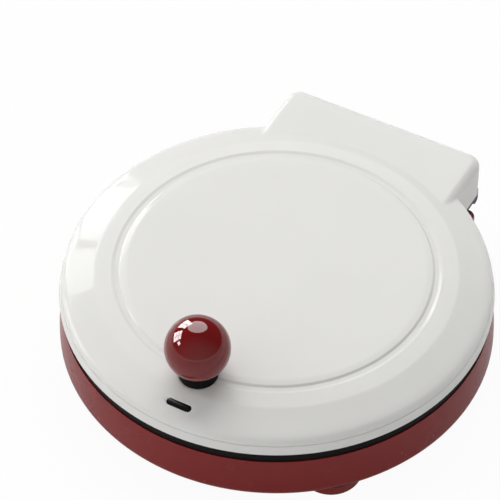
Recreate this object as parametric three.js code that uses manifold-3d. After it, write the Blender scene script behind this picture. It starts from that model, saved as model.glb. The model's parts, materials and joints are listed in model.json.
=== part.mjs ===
// Electric pizza maker: a round two-plate baker with a hinged lid. Millimetres, +Z up, the front is -Y.
// While it is modelled, the lid's axis is the Z axis and the table is Z = 0.

import * as THREE from 'three';
import { mergeVertices } from 'three/addons/utils/BufferGeometryUtils.js';
import Module from 'manifold-3d';

const wasm = await Module();
wasm.setup();

const halfTurn = Math.PI;
const quarterTurn = Math.PI / 2;

// Clearances that every piece shares
const seatGap = 0.3;
const screwPlay = 0.4;
const overrun = 1;

// Screws, all of one kind
const screwRadius = 1.9;
const screwHeadRadius = 3.5;
const screwHeadHeight = 1.7;

// Lid shell from its rim inwards: skirt, shoulder, flat ring, groove and raised disc
const lidRadius = 170;
const lidWall = 2.4;
const skirtHeight = 8;
const skirtDraft = 1.4;
const skirtLedge = 0.4;
const skirtLineDepth = 0.6;
const skirtLineHeight = 0.4;
const shoulderRun = 26.7;
const shoulderEdgeRadius = 6.5;
const flatRingWidth = 13;
const flatRingRise = 1.5;
const grooveSlopeRun = 4.2;
const grooveDepth = 0.8;
const grooveFloorWidth = 3.4;
const grooveStepRun = 3.1;
const discStep = 2.4;
const discEdgeRun = 4.4;
const discEdgeDrop = 0.8;
const discHeadroom = 2.7;
const lidScrewAngle = halfTurn / 6;
const lidScrewLength = 12;
const lidBossRadius = 3.3;

// Black band between the base and the lid: the ring on the base's rim, which carries the lower plate
const bandHeight = 10;
const baseRingInset = 0.8;
const baseRingWall = 3;
const baseRingLip = 2.4;
const baseRingEdge = 0.8;

// Base shell: a moulded bowl with a vented floor
const baseRimInset = 1.4;
const baseBulge = 2.7;
const baseRimHeight = 50;
const baseFloorHeight = 10;
const baseHeelRadius = 10;
const baseWall = 2.5;
const ventLength = 26;
const ventWidth = 3.2;
const ventInset = 28;
const ventCount = 12;
const floorBossRadius = 7;
const baseScrewSink = 10;
const baseScrewGrip = 5.8;

// Rear housing of the base
const housingShoulder = 4;
const housingReach = 3.7;
const housingDepth = 60;
const housingCornerRadius = 7;
const housingEdgeRadius = 3;

// Feet and their rubber pads
const footInset = 27.3;
const footRadius = 23;
const footDraft = 2.5;
const footEdgeRadius = 4;
const footClearance = 1.5;
const padMargin = 4;
const padRecess = 2;

// Hinge hood at the back of the lid
const hoodHalfWidth = 84.4;
const hoodOverhang = 15.5;
const hoodDrop = 2.5;
const hoodRootInset = 7.7;
const hoodBowlRoom = 1.5;
const hoodCornerRadius = 13;
const hoodEdgeRadius = 7;
const hoodBossRadius = 3.8;
const hoodBossInset = 11.8;
const hoodBossOverlap = 0.8;
const hoodBossCount = 4;
const hoodScrewLength = 12;

// Hinge: knuckles on the plate under the hood, lugs on the housing, and pins
const hingeRise = 0.5;
const hingeRoom = 1;
const knuckleRadius = 4.2;
const knuckleWidth = 10;
const lugWidth = 11;
const lugFootRise = 5;
const pinRadius = 2.2;
const pinHeadRadius = 2.9;
const pinHeadHeight = 1.6;
const hingePlateThickness = 1.5;
const hingePlateInset = 0.4;

// Black ring that closes the lid from below
const lidRingThickness = 3;
const lidRingReveal = 3.3;
const lidRingUpstandRoom = 1.5;
const lidRingUpstandWall = 2.5;

// Baking plates
const plateInset = 13.3;
const plateFlange = 2.5;
const plateThickness = 3;
const lowerPanInset = 13.7;
const lowerPanDepth = 12.1;
const panWallRun = 4.7;
const panEdgeRadius = 2.5;
const upperPanInset = 15.7;
const upperPanDepth = 3.7;
const platePostInset = 33;
const platePostRadius = 5;
const upperBossRadius = 6;

// Heating elements and their reflectors
const elementInset = 20;
const elementRadius = 3.2;
const elementGapAngle = 0.16;
const elementRoom = 1.1;
const sheet = 1.1;
const lowerReflectorInset = 9;
const lowerReflectorRim = 6.4;
const lowerReflectorRoom = 1.5;
const upperReflectorBrim = 4;

// Thermostat, thermal fuse, terminal block and cord gland
const thermostatRadius = 9;
const thermostatHeight = 7.6;
const thermostatCapRadius = 6.5;
const fuseRadius = 2.6;
const fuseLength = 18;
const terminalLength = 34;
const terminalWidth = 16;
const terminalHeight = 13;
const terminalSetback = 25;
const terminalScrewRadius = 2.4;
const glandRadius = 5.2;
const glandWall = 1.8;
const glandLip = 1.6;
const glandBarb = 0.7;
const glandNose = 7;
const glandFlange = 1.8;
const glandRoom = 1.6;

// Ball knob on its collar, in a recess at the edge of the raised disc
const knobInset = 0.3;
const knobRecess = 3;
const knobBossRadius = 9;
const knobBossDrop = 3.3;
const knobBossRoom = 1.9;
const ballRadius = 25.2;
const collarNeck = 5.3;
const collarFootRadius = 16.1;
const collarTopRadius = 15.4;
const collarEdgeRadius = 0.8;
const boltRadius = 3;
const boltTipChamfer = 0.5;
const boltHeadRadius = 5;
const boltHeadHeight = 4;
const boltGrip = 14;
const washerRadius = 7;
const washerThickness = 1.2;

// Indicator window in the lid's shoulder, with two lamps in a holder behind it
const windowPlaceShare = 0.46;
const windowLength = 20.4;
const windowWidth = 5.2;
const windowSink = 0.35;
const windowBrim = 1.6;
const windowBrimThickness = 1.2;
const holderWall = 1.5;
const lampRadius = 2.2;
const lampHeight = 3.2;
const lampPitch = 11;
const lampFloor = 1.2;

// Radii that follow, from the lid's rim inwards
const skirtTopRadius = lidRadius - skirtDraft;
const shoulderRadius = skirtTopRadius - skirtLedge - shoulderRun;
const grooveOuterRadius = shoulderRadius - flatRingWidth;
const grooveFloorRadius = grooveOuterRadius - grooveSlopeRun;
const discRadius = grooveFloorRadius - grooveStepRun;
const windowRingRadius = shoulderRadius + windowPlaceShare * shoulderRun;
const knobRingRadius = grooveFloorRadius - knobInset;
const knobSeatReach = Math.max(collarFootRadius - upperReflectorBrim, knobBossRadius);
const upperReflectorRadius = knobRingRadius - knobSeatReach - knobBossRoom;
const baseRimRadius = lidRadius - baseRimInset;
const baseBellyRadius = baseRimRadius + baseBulge;
const baseRingRadius = baseRimRadius - baseRingInset;
const plateRadius = lidRadius - plateInset;
const lidScrewRingRadius = plateRadius - lidBossRadius;
const upperPanRadius = plateRadius - upperPanInset;
const lidRingInnerRadius = upperPanRadius + upperPanDepth + lidRingReveal;
const lowerPanRadius = plateRadius - lowerPanInset;
const lowerPanOuterRadius = lowerPanRadius + panWallRun + plateFlange;
const baseRingInnerRadius = lowerPanOuterRadius + seatGap;
const lowerReflectorRadius = lowerPanRadius - lowerReflectorInset;
const postRingRadius = lowerPanRadius - platePostInset;
const elementRingRadius = postRingRadius - elementInset;
const ventRingRadius = elementRingRadius - ventInset;
const footRingRadius = baseBellyRadius - footInset;
const padRadius = footRadius - footEdgeRadius - padMargin;
const screwHole = screwRadius + screwPlay;
const screwRecess = screwHeadRadius + screwPlay;

// Heights that follow, from the table up
const glandHeight = baseFloorHeight + baseWall + glandRoom + glandRadius + glandBarb;
const housingHeight = 2 * glandHeight - baseFloorHeight;
const lugFootHeight = baseFloorHeight + lugFootRise;
const hingeHeight = housingHeight + hingeRise;
const hingePlateBottom = hingeHeight + knuckleRadius + hingeRoom;
const hingePlateTop = hingePlateBottom + hingePlateThickness;
const hoodBottom = hingePlateTop + seatGap;
const lidEdgeHeight = baseRimHeight + bandHeight;
const baseRingBottom = baseRimHeight + seatGap;
const baseRingTop = lidEdgeHeight - seatGap;
const lowerPlateTop = baseRingTop - 2 * seatGap;
const lowerSeat = lowerPlateTop - plateFlange - seatGap;
const lowerPanTop = lowerPlateTop - lowerPanDepth;
const lowerPanBottom = lowerPanTop - plateThickness;
const thermostatBottom = lowerPanBottom - seatGap - thermostatHeight;
const lowerReflectorBottom = thermostatBottom - lowerReflectorRoom - sheet;
const floorBossHeight = lowerReflectorBottom - seatGap;
const platePostBottom = lowerReflectorBottom + sheet + seatGap;
const baseScrewSeat = baseFloorHeight + baseScrewSink;
const baseScrewLength = platePostBottom + baseScrewGrip - baseScrewSeat + seatGap;
const lidRingTop = lidEdgeHeight + lidRingThickness;
const lidScrewSeat = lidEdgeHeight + screwHeadHeight + seatGap;
const upperSeat = lidRingTop + seatGap;
const lidBossBottom = upperSeat + plateFlange + seatGap;
const upperPanCeiling = upperSeat + upperPanDepth;
const upperPlateBack = upperPanCeiling + plateThickness;
const upperReflectorTop = upperPlateBack + seatGap + 2 * elementRadius + elementRoom + sheet;
const discHeight = upperReflectorTop + discHeadroom + lidWall;
const grooveFloorHeight = discHeight - discStep;
const grooveOuterHeight = grooveFloorHeight + grooveDepth;
const shoulderHeight = grooveOuterHeight - flatRingRise;
const skirtTop = lidEdgeHeight + skirtHeight;
const shoulderRise = shoulderHeight - skirtTop;
const shoulderEdgeCentre = shoulderRadius + shoulderRun - shoulderEdgeRadius;
const shoulderSpan = Math.hypot(shoulderEdgeCentre - shoulderRadius, shoulderRise);
const shoulderPitch = Math.atan2(shoulderRise, shoulderEdgeCentre - shoulderRadius);
const shoulderSlope = shoulderPitch - Math.asin(shoulderEdgeRadius / shoulderSpan);
const hoodTop = shoulderHeight - hoodDrop;
const knobSeatHeight = discHeight - knobRecess;
const knobBossBottom = knobSeatHeight - knobBossDrop;
const ballBottom = knobSeatHeight + collarNeck;
const ballHeight = ballBottom + ballRadius;

// Places that follow at the hinge; the hood's front corners stay under the edge of the lid's shoulder
const housingBack = baseBellyRadius + housingReach;
const housingFront = housingBack - housingDepth;
const housingHalfWidth = hoodHalfWidth + housingShoulder;
const hoodBack = housingBack + hoodOverhang;
const hoodRootRadius = shoulderRadius + hoodRootInset;
const hoodFront = Math.sqrt((hoodRootRadius - hoodHalfWidth) * (hoodRootRadius + hoodHalfWidth));
const hoodBowlRadius = baseBellyRadius + hoodBowlRoom;
const hingeBack = hoodBack - knuckleRadius;
const knuckleOuterX = hoodHalfWidth - hingePlateInset;
const knuckleInnerX = knuckleOuterX - knuckleWidth;
const lugOuterX = knuckleInnerX - seatGap;
const lugInnerX = lugOuterX - lugWidth;

// How finely round forms are faceted
const outsideSteps = 52;
const ringSteps = 40;
const innerSteps = 24;
const smallSteps = 16;
const screwSteps = 6;
const arcSteps = 4;
const elementSides = 6;

// Materials, one for each finish
function finish(color, roughness, metalness = 0) {
  return new THREE.MeshStandardMaterial({ color, roughness, metalness });
}

const offWhiteGloss = finish(0xdcdcda, 0.18);
const redPlastic = finish(0x6b2626, 0.35);
const redBall = finish(0x7d1518, 0.08);
const blackPlastic = finish(0x15191a, 0.45);
const greyPlastic = finish(0x45484b, 0.5);
const darkWindow = finish(0x0c0c0e, 0.1);
const nonStick = finish(0x1d1d1f, 0.55, 0.2);
const steelSheet = finish(0xb4b6b8, 0.4, 0.9);
const screwSteel = finish(0x9a9c9f, 0.35, 0.9);
const blackedSteel = finish(0x2b2c2e, 0.45, 0.7);
const elementSteel = finish(0x6d6a66, 0.5, 0.8);
const blackRubber = finish(0x1a1a1a, 0.85);
const ceramicWhite = finish(0xe6e1d6, 0.6);
const lampGlass = finish(0xd9652c, 0.2);

// A closed solid from a geometry's triangles, turned right side out
function solidOf(geometry) {
  const bare = new THREE.BufferGeometry();
  bare.setAttribute('position', geometry.getAttribute('position'));
  bare.setIndex(geometry.index);
  const merged = mergeVertices(bare);
  const place = merged.getAttribute('position');
  const corners = [];
  let volume = 0;
  for (let i = 0; i < merged.index.count; i += 3) {
    const [a, b, c] = [0, 1, 2].map((k) => merged.index.getX(i + k));
    if (a === b || b === c || c === a) continue;
    corners.push(a, b, c);
    const [p, q, r] = [a, b, c].map((k) => new THREE.Vector3().fromBufferAttribute(place, k));
    volume += p.dot(q.cross(r));
  }
  if (volume < 0) corners.reverse();
  const mesh = new wasm.Mesh({
    numProp: 3,
    vertProperties: new Float32Array(place.array),
    triVerts: new Uint32Array(corners),
  });
  return new wasm.Manifold(mesh);
}

// A named mesh from a solid
function piece(name, solid, material) {
  const { vertProperties, triVerts } = solid.getMesh();
  const geometry = new THREE.BufferGeometry();
  geometry.setAttribute('position', new THREE.BufferAttribute(vertProperties, 3));
  geometry.setIndex(new THREE.BufferAttribute(triVerts, 1));
  geometry.computeVertexNormals();
  const mesh = new THREE.Mesh(geometry, material);
  mesh.name = name;
  return mesh;
}

// Profile points [radius, height] along an arc, its angles measured from the outward radius towards up
function arc(radiusAt, heightAt, size, from, to, steps = arcSteps) {
  const points = [];
  for (let k = 0; k <= steps; k += 1) {
    const angle = from + ((to - from) * k) / steps;
    points.push([radiusAt + size * Math.cos(angle), heightAt + size * Math.sin(angle)]);
  }
  return points;
}

// A closed profile turned about the Z axis
function turnedGeometry(profile, steps) {
  const points = profile.map(([radius, height]) => new THREE.Vector2(radius, height));
  const geometry = new THREE.LatheGeometry([...points, points[0]], steps);
  return geometry.rotateX(quarterTurn);
}

function turned(profile, steps = ringSteps) {
  return solidOf(turnedGeometry(profile, steps));
}

// A plain round bar between two heights, standing at a place
function bar(radius, bottom, top, x = 0, y = 0, steps = screwSteps) {
  const geometry = turnedGeometry([[0, bottom], [radius, bottom], [radius, top], [0, top]], steps);
  return solidOf(geometry.translate(x, y, 0));
}

// A loop of points round a rectangle with round corners, at one height
function roundedLoop(halfWidth, front, back, radius, height, steps = arcSteps) {
  const corners = [
    [halfWidth - radius, back - radius, 0],
    [radius - halfWidth, back - radius, quarterTurn],
    [radius - halfWidth, front + radius, halfTurn],
    [halfWidth - radius, front + radius, halfTurn + quarterTurn],
  ];
  const loop = [];
  for (const [x, y, start] of corners) {
    for (let k = 0; k <= steps; k += 1) {
      const angle = start + (quarterTurn * k) / steps;
      loop.push([x + radius * Math.cos(angle), y + radius * Math.sin(angle), height]);
    }
  }
  return loop;
}

// A convex solid lofted through loops that have as many points each
function lofted(loops) {
  const count = loops[0].length;
  const points = loops.flat(2);
  const corners = [];
  for (let level = 0; level + 1 < loops.length; level += 1) {
    for (let k = 0; k < count; k += 1) {
      const next = (k + 1) % count;
      const [a, b] = [level * count + k, level * count + next];
      corners.push(a, b, b + count, a, b + count, a + count);
    }
  }
  const top = (loops.length - 1) * count;
  for (let k = 1; k + 1 < count; k += 1) {
    corners.push(0, k + 1, k);
    corners.push(top, top + k, top + k + 1);
  }
  const geometry = new THREE.BufferGeometry();
  geometry.setAttribute('position', new THREE.Float32BufferAttribute(points, 3));
  geometry.setIndex(corners);
  return solidOf(geometry);
}

// A box with round upright corners, whose lower and upper edges are rounded by sizes of their own
function roundedBox(halfWidth, front, back, bottom, top, corner, lowerEdge, upperEdge) {
  const steps = (edge) => (edge > 0 ? arcSteps : 1);
  const lower = arc(lowerEdge, bottom + lowerEdge, lowerEdge, -quarterTurn, -halfTurn, steps(lowerEdge));
  const upper = arc(upperEdge, top - upperEdge, upperEdge, halfTurn, quarterTurn, steps(upperEdge));
  const loops = [...lower, ...upper].map(([inset, height]) => {
    const radius = Math.max(corner - inset, seatGap);
    return roundedLoop(halfWidth - inset, front + inset, back - inset, radius, height);
  });
  return lofted(loops);
}

// An outline drawn in the plane of Y and Z, made solid between two places along X
function sideways(shape, left, right) {
  const geometry = new THREE.ExtrudeGeometry(shape, {
    depth: right - left,
    bevelEnabled: false,
    curveSegments: smallSteps / 2,
  });
  const toSide = new THREE.Matrix4().makeBasis(
    new THREE.Vector3(0, 1, 0),
    new THREE.Vector3(0, 0, 1),
    new THREE.Vector3(1, 0, 0),
  );
  return solidOf(geometry.applyMatrix4(toSide).translate(left, 0, 0));
}

// A round bar along X through the hinge axis
function hingeBar(radius, left, right) {
  const shape = new THREE.Shape();
  shape.absarc(hingeBack, hingeHeight, radius, 0, 2 * halfTurn, false);
  return sideways(shape, left, right);
}

// Places spread evenly round the Z axis
function ringPlaces(radius, count, start = 0) {
  return Array.from({ length: count }, (_, k) => {
    const angle = start + (2 * halfTurn * k) / count;
    return { x: radius * Math.cos(angle), y: radius * Math.sin(angle), angle };
  });
}

// A pan-head screw that points up from its seat; the head hangs below the seat
function screwSolid(length) {
  const half = screwHeadHeight / 2;
  return turned([
    [0, -screwHeadHeight],
    [screwHeadRadius - half, -screwHeadHeight],
    [screwHeadRadius, -half],
    [screwHeadRadius, 0],
    [screwRadius, 0],
    [screwRadius, length],
    [0, length],
  ], screwSteps);
}

const platePosts = ringPlaces(postRingRadius, 4);

// The lid's screws stand two on each side, clear of the hood and of the window
const lidScrewPlaces = [[1, 1], [-1, 1], [-1, -1], [1, -1]].map(([right, back]) => ({
  x: right * lidScrewRingRadius * Math.cos(lidScrewAngle),
  y: back * lidScrewRingRadius * Math.sin(lidScrewAngle),
}));

// Outline of the base bowl's outside, let out by a gap; its floor lies at the gap below the real one
function bowlOutline(grow, steps = arcSteps) {
  const heelAt = baseFloorHeight + baseHeelRadius;
  const heel = arc(baseBellyRadius - baseHeelRadius, heelAt, baseHeelRadius + grow, -quarterTurn, 0, steps);
  const side = [];
  for (let k = 1; k < steps; k += 1) {
    const rise = k / (steps - 1);
    const radius = baseBellyRadius - (baseBellyRadius - baseRimRadius) * rise * rise;
    side.push([radius + grow, heelAt + (baseRimHeight - heelAt) * rise]);
  }
  return [[0, baseFloorHeight - grow], ...heel, ...side];
}

// The bowl and the rear housing as one block, let out by a gap
function baseBlock(grow) {
  const bowl = turned([...bowlOutline(grow), [0, baseRimHeight]], outsideSteps);
  return bowl.add(roundedBox(
    housingHalfWidth + grow, housingFront - grow, housingBack + grow,
    baseFloorHeight - grow, housingHeight + grow,
    housingCornerRadius + grow, housingEdgeRadius, housingEdgeRadius,
  ));
}

function baseShell() {
  let shell = baseBlock(0);
  const inside = bowlOutline(-baseWall, arcSteps - 1);
  const [mouthRadius] = inside[inside.length - 1];
  const mouthTop = baseRimHeight + overrun;
  shell = shell.subtract(turned([...inside, [mouthRadius, mouthTop], [0, mouthTop]]));
  shell = shell.subtract(roundedBox(
    housingHalfWidth - baseWall, housingFront + baseWall, housingBack - baseWall,
    baseFloorHeight + baseWall, housingHeight - baseWall, housingCornerRadius - baseWall, 0, 0,
  ));
  for (const { x, y, angle } of ringPlaces(ventRingRadius, ventCount)) {
    const slot = new THREE.BoxGeometry(ventLength, ventWidth, baseWall + 2 * overrun);
    slot.rotateZ(angle).translate(x, y, baseFloorHeight + baseWall / 2);
    shell = shell.subtract(solidOf(slot));
  }
  for (const { x, y } of platePosts) {
    shell = shell.add(bar(floorBossRadius, baseFloorHeight + baseWall / 2, floorBossHeight, x, y));
    shell = shell.subtract(bar(screwHole, baseFloorHeight, floorBossHeight + overrun, x, y));
    shell = shell.subtract(bar(screwRecess, baseFloorHeight - overrun, baseScrewSeat, x, y));
  }
  for (const side of [-1, 1]) shell = shell.add(hingeLug(side));
  const glandHole = glandBar(glandRadius + seatGap, housingBack - 2 * baseWall, housingBack + overrun);
  return piece('base_shell', shell.subtract(glandHole), redPlastic);
}

// Places one end of a span along X on the left or the right of the object
function span(side, inner, outer) {
  return side > 0 ? [inner, outer] : [-outer, -inner];
}

function hingeLug(side) {
  const wallAt = housingBack - baseWall / 2;
  const shape = new THREE.Shape();
  shape.moveTo(wallAt, housingHeight - housingEdgeRadius);
  shape.absarc(hingeBack, hingeHeight, knuckleRadius, (halfTurn * 2) / 3, -halfTurn / 4, true);
  shape.lineTo(wallAt, lugFootHeight);
  const bore = hingeBar(pinRadius + seatGap, ...span(side, lugInnerX - overrun, lugOuterX + overrun));
  return sideways(shape, ...span(side, lugInnerX, lugOuterX)).subtract(bore);
}

// A round bar along Y at the cord gland's place
function glandBar(radius, front, back) {
  const geometry = turnedGeometry([[0, front], [radius, front], [radius, back], [0, back]], smallSteps);
  return solidOf(geometry.rotateX(-quarterTurn).translate(0, 0, glandHeight));
}

function cordGland() {
  const boreRadius = glandRadius - glandWall;
  const flangeRadius = glandRadius + glandLip;
  const inside = housingBack - baseWall - seatGap;
  const outside = housingBack + seatGap;
  const profile = [
    [boreRadius, inside - glandFlange],
    [glandRadius + glandBarb, inside - glandFlange],
    [glandRadius + glandBarb, inside],
    [glandRadius, inside],
    [glandRadius, outside],
    [flangeRadius, outside],
    [flangeRadius, outside + glandFlange / 2],
    [flangeRadius - glandFlange / 2, outside + glandFlange],
    [glandRadius, outside + glandFlange],
    [boreRadius + glandBarb, outside + glandNose],
    [boreRadius, outside + glandNose],
  ];
  const geometry = turnedGeometry(profile, smallSteps);
  const gland = piece('cord_gland', solidOf(geometry.rotateX(-quarterTurn)), blackRubber);
  gland.position.set(0, 0, glandHeight);
  return gland;
}

function feet() {
  const keepOff = baseBlock(seatGap);
  const top = baseFloorHeight + baseHeelRadius;
  const profile = [
    [0, footClearance + padRecess],
    [padRadius, footClearance + padRecess],
    [padRadius, footClearance],
    ...arc(footRadius - footEdgeRadius, footClearance + footEdgeRadius, footEdgeRadius, -quarterTurn, 0, 2),
    [footRadius + footDraft, top],
    [0, top],
  ];
  const padTop = footClearance + padRecess - seatGap;
  const pad = bar(padRadius - seatGap, 0, padTop, 0, 0, smallSteps);
  const pieces = [];
  for (const [k, { x, y }] of ringPlaces(footRingRadius, 4, halfTurn / 4).entries()) {
    const foot = solidOf(turnedGeometry(profile, smallSteps).translate(x, y, 0));
    pieces.push(piece(`foot_${k + 1}`, foot.subtract(keepOff), redPlastic));
    const padPiece = piece(`foot_pad_${k + 1}`, pad, blackRubber);
    padPiece.position.set(x, y, 0);
    pieces.push(padPiece);
  }
  return pieces;
}

function baseRing() {
  const wallInside = baseRingRadius - baseRingWall;
  const profile = [
    [baseRingInnerRadius, lowerSeat - baseRingLip],
    [wallInside, lowerSeat - baseRingLip],
    [wallInside, baseRingBottom],
    [baseRingRadius, baseRingBottom],
    [baseRingRadius, baseRingTop - baseRingEdge],
    [baseRingRadius - baseRingEdge, baseRingTop],
    [plateRadius + seatGap, baseRingTop],
    [plateRadius + seatGap, lowerSeat],
    [baseRingInnerRadius, lowerSeat],
  ];
  return piece('base_ring', turned(profile), blackPlastic);
}

function lowerPlate() {
  const flangeBottom = lowerPlateTop - plateFlange;
  const wallTop = lowerPanRadius + panWallRun;
  const edge = panEdgeRadius;
  let plate = turned([
    [0, lowerPanBottom],
    [lowerPanRadius + plateThickness / 2, lowerPanBottom],
    [lowerPanOuterRadius, flangeBottom],
    [plateRadius, flangeBottom],
    [plateRadius, lowerPlateTop - edge / 4],
    [plateRadius - edge / 4, lowerPlateTop],
    ...arc(wallTop + edge, lowerPlateTop - edge, edge, quarterTurn, halfTurn, 1),
    [lowerPanRadius, lowerPanTop + edge],
    ...arc(lowerPanRadius - edge, lowerPanTop + edge, edge, -quarterTurn / 2, -quarterTurn, 1),
    [0, lowerPanTop],
  ]);
  for (const { x, y } of platePosts) {
    plate = plate.add(bar(platePostRadius, platePostBottom, lowerPanBottom + plateThickness / 2, x, y));
    plate = plate.subtract(bar(screwHole, platePostBottom - overrun, lowerPanBottom + seatGap, x, y));
  }
  return piece('lower_plate', plate, nonStick);
}

// A tubular ring element with a gap between its ends, centred on the Z axis
function elementSolid(height) {
  const points = [];
  const turn = 2 * halfTurn - 2 * elementGapAngle;
  for (let k = 0; k <= innerSteps; k += 1) {
    const angle = quarterTurn + elementGapAngle + (turn * k) / innerSteps;
    const [x, y] = [elementRingRadius * Math.cos(angle), elementRingRadius * Math.sin(angle)];
    points.push(new THREE.Vector3(x, y, height));
  }
  const section = new THREE.Shape();
  section.absarc(0, 0, elementRadius, 0, 2 * halfTurn, false);
  const geometry = new THREE.ExtrudeGeometry(section, {
    steps: innerSteps,
    curveSegments: elementSides / 2,
    extrudePath: new THREE.CatmullRomCurve3(points),
  });
  return solidOf(geometry);
}

function lowerElement() {
  const solid = elementSolid(lowerPanBottom - seatGap - elementRadius);
  return piece('lower_heating_element', solid, elementSteel);
}

function lowerReflector() {
  const rimTop = lowerReflectorBottom + lowerReflectorRim;
  const rimRadius = lowerReflectorRadius + lowerReflectorRim;
  let pan = turned([
    [0, lowerReflectorBottom],
    [lowerReflectorRadius, lowerReflectorBottom],
    [rimRadius, rimTop],
    [rimRadius - sheet, rimTop],
    [lowerReflectorRadius - sheet / 2, lowerReflectorBottom + sheet],
    [0, lowerReflectorBottom + sheet],
  ], innerSteps);
  for (const { x, y } of platePosts) {
    pan = pan.subtract(bar(screwHole, lowerReflectorBottom - overrun, platePostBottom, x, y));
  }
  return piece('lower_reflector', pan, steelSheet);
}

// The thermostat and the thermal fuse lie against the plate, half way out to the element
function thermostat() {
  const top = lowerPanBottom - seatGap;
  const step = top - thermostatHeight / 2;
  const body = turned([
    [0, thermostatBottom],
    [thermostatRadius, thermostatBottom],
    [thermostatRadius, step],
    [thermostatCapRadius, step],
    [thermostatCapRadius, top],
    [0, top],
  ], smallSteps);
  const mesh = piece('thermostat', body, ceramicWhite);
  mesh.position.set(elementRingRadius / 2, 0, 0);
  return mesh;
}

function thermalFuse() {
  const half = fuseLength / 2;
  const taper = fuseRadius / 2;
  const geometry = turnedGeometry([
    [0, -half],
    [taper, -half],
    [fuseRadius, taper - half],
    [fuseRadius, half - taper],
    [taper, half],
    [0, half],
  ], smallSteps / 2);
  const mesh = piece('thermal_fuse', solidOf(geometry.rotateY(quarterTurn)), steelSheet);
  mesh.position.set(0, -elementRingRadius / 2, lowerPanBottom - seatGap - fuseRadius);
  return mesh;
}

function terminalBlock() {
  const bottom = baseFloorHeight + baseWall + seatGap;
  const body = new THREE.BoxGeometry(terminalLength, terminalWidth, terminalHeight);
  let block = solidOf(body.translate(0, 0, bottom + terminalHeight / 2));
  for (const place of [-1, 0, 1]) {
    const well = bottom + terminalHeight / 2;
    const x = (place * terminalLength) / 3;
    block = block.subtract(bar(terminalScrewRadius, well, bottom + terminalHeight + overrun, x, 0));
  }
  const mesh = piece('terminal_block', block, ceramicWhite);
  mesh.position.set(0, housingBack - terminalSetback, 0);
  return mesh;
}

function baseScrews() {
  return platePosts.map(({ x, y }, k) => {
    const screw = piece(`base_screw_${k + 1}`, screwSolid(baseScrewLength), screwSteel);
    screw.position.set(x, y, baseScrewSeat - seatGap);
    return screw;
  });
}

function hingePins() {
  return [['hinge_pin_left', -1], ['hinge_pin_right', 1]].map(([name, side]) => {
    const headAt = knuckleOuterX - pinHeadHeight;
    const shank = hingeBar(pinRadius, ...span(side, lugInnerX - pinRadius, headAt + pinHeadHeight / 2));
    const head = hingeBar(pinHeadRadius, ...span(side, headAt, knuckleOuterX));
    return piece(name, shank.add(head), blackedSteel);
  });
}

// The lid's shoulder, a cone from the flat ring down to a round edge over the skirt, sunk by a wall
function shoulderOutline(sink, steps) {
  const size = shoulderEdgeRadius - sink;
  const start = shoulderHeight - sink / Math.cos(shoulderSlope);
  const edge = arc(shoulderEdgeCentre, skirtTop, size, quarterTurn - shoulderSlope, 0, steps);
  return [[shoulderRadius, start], ...edge];
}

// Outline of the lid's outside from its axis down to its lower edge
function lidOutside() {
  return [
    [0, discHeight],
    [discRadius - discEdgeRun, discHeight],
    [discRadius, discHeight - discEdgeDrop],
    [grooveFloorRadius - grooveFloorWidth / 2, grooveFloorHeight],
    [grooveFloorRadius + grooveFloorWidth / 2, grooveFloorHeight],
    [grooveOuterRadius, grooveOuterHeight],
    ...shoulderOutline(0, arcSteps),
    [skirtTopRadius - skirtLedge - skirtLineDepth, skirtTop],
    [skirtTopRadius, skirtTop - skirtLineHeight],
    [lidRadius, lidEdgeHeight],
  ];
}

// Outline of the lid's inside, one wall in from the outside
function lidInside() {
  return [
    [0, discHeight - lidWall],
    [discRadius - lidWall, discHeight - lidWall],
    [grooveFloorRadius, grooveFloorHeight - lidWall],
    ...shoulderOutline(lidWall, arcSteps / 2),
    [lidRadius - lidWall, lidEdgeHeight],
    [lidRadius - lidWall, lidEdgeHeight - overrun],
    [0, lidEdgeHeight - overrun],
  ];
}

// The height of the lid's outside at a radius on the shoulder's cone
function shoulderAt(radius) {
  return shoulderHeight - (radius - shoulderRadius) * Math.tan(shoulderSlope);
}

// A pill-shaped bar through the lid's shoulder; depths are measured down from the lid's outside
function pillBar(length, width, above, below) {
  const shape = new THREE.Shape();
  const run = (length - width) / 2;
  shape.absarc(run, 0, width / 2, -quarterTurn, quarterTurn, false);
  shape.absarc(-run, 0, width / 2, quarterTurn, halfTurn + quarterTurn, false);
  const geometry = new THREE.ExtrudeGeometry(shape, {
    depth: below - above,
    bevelEnabled: false,
    curveSegments: 2 * arcSteps,
  });
  return geometry.translate(0, 0, -below);
}

const windowHeight = shoulderAt(windowRingRadius);

// Moves a geometry from its flat place at the origin to the window's place on the shoulder
function ontoShoulder(geometry) {
  return geometry.rotateX(shoulderSlope).translate(0, -windowRingRadius, windowHeight);
}

// The ball rests in a round cup in the collar's top; height of the cup's face at a radius
const collarCupRadius = ballRadius + seatGap;
const cupHeight = (radius) => ballHeight - Math.sqrt(collarCupRadius * collarCupRadius - radius * radius);

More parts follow.
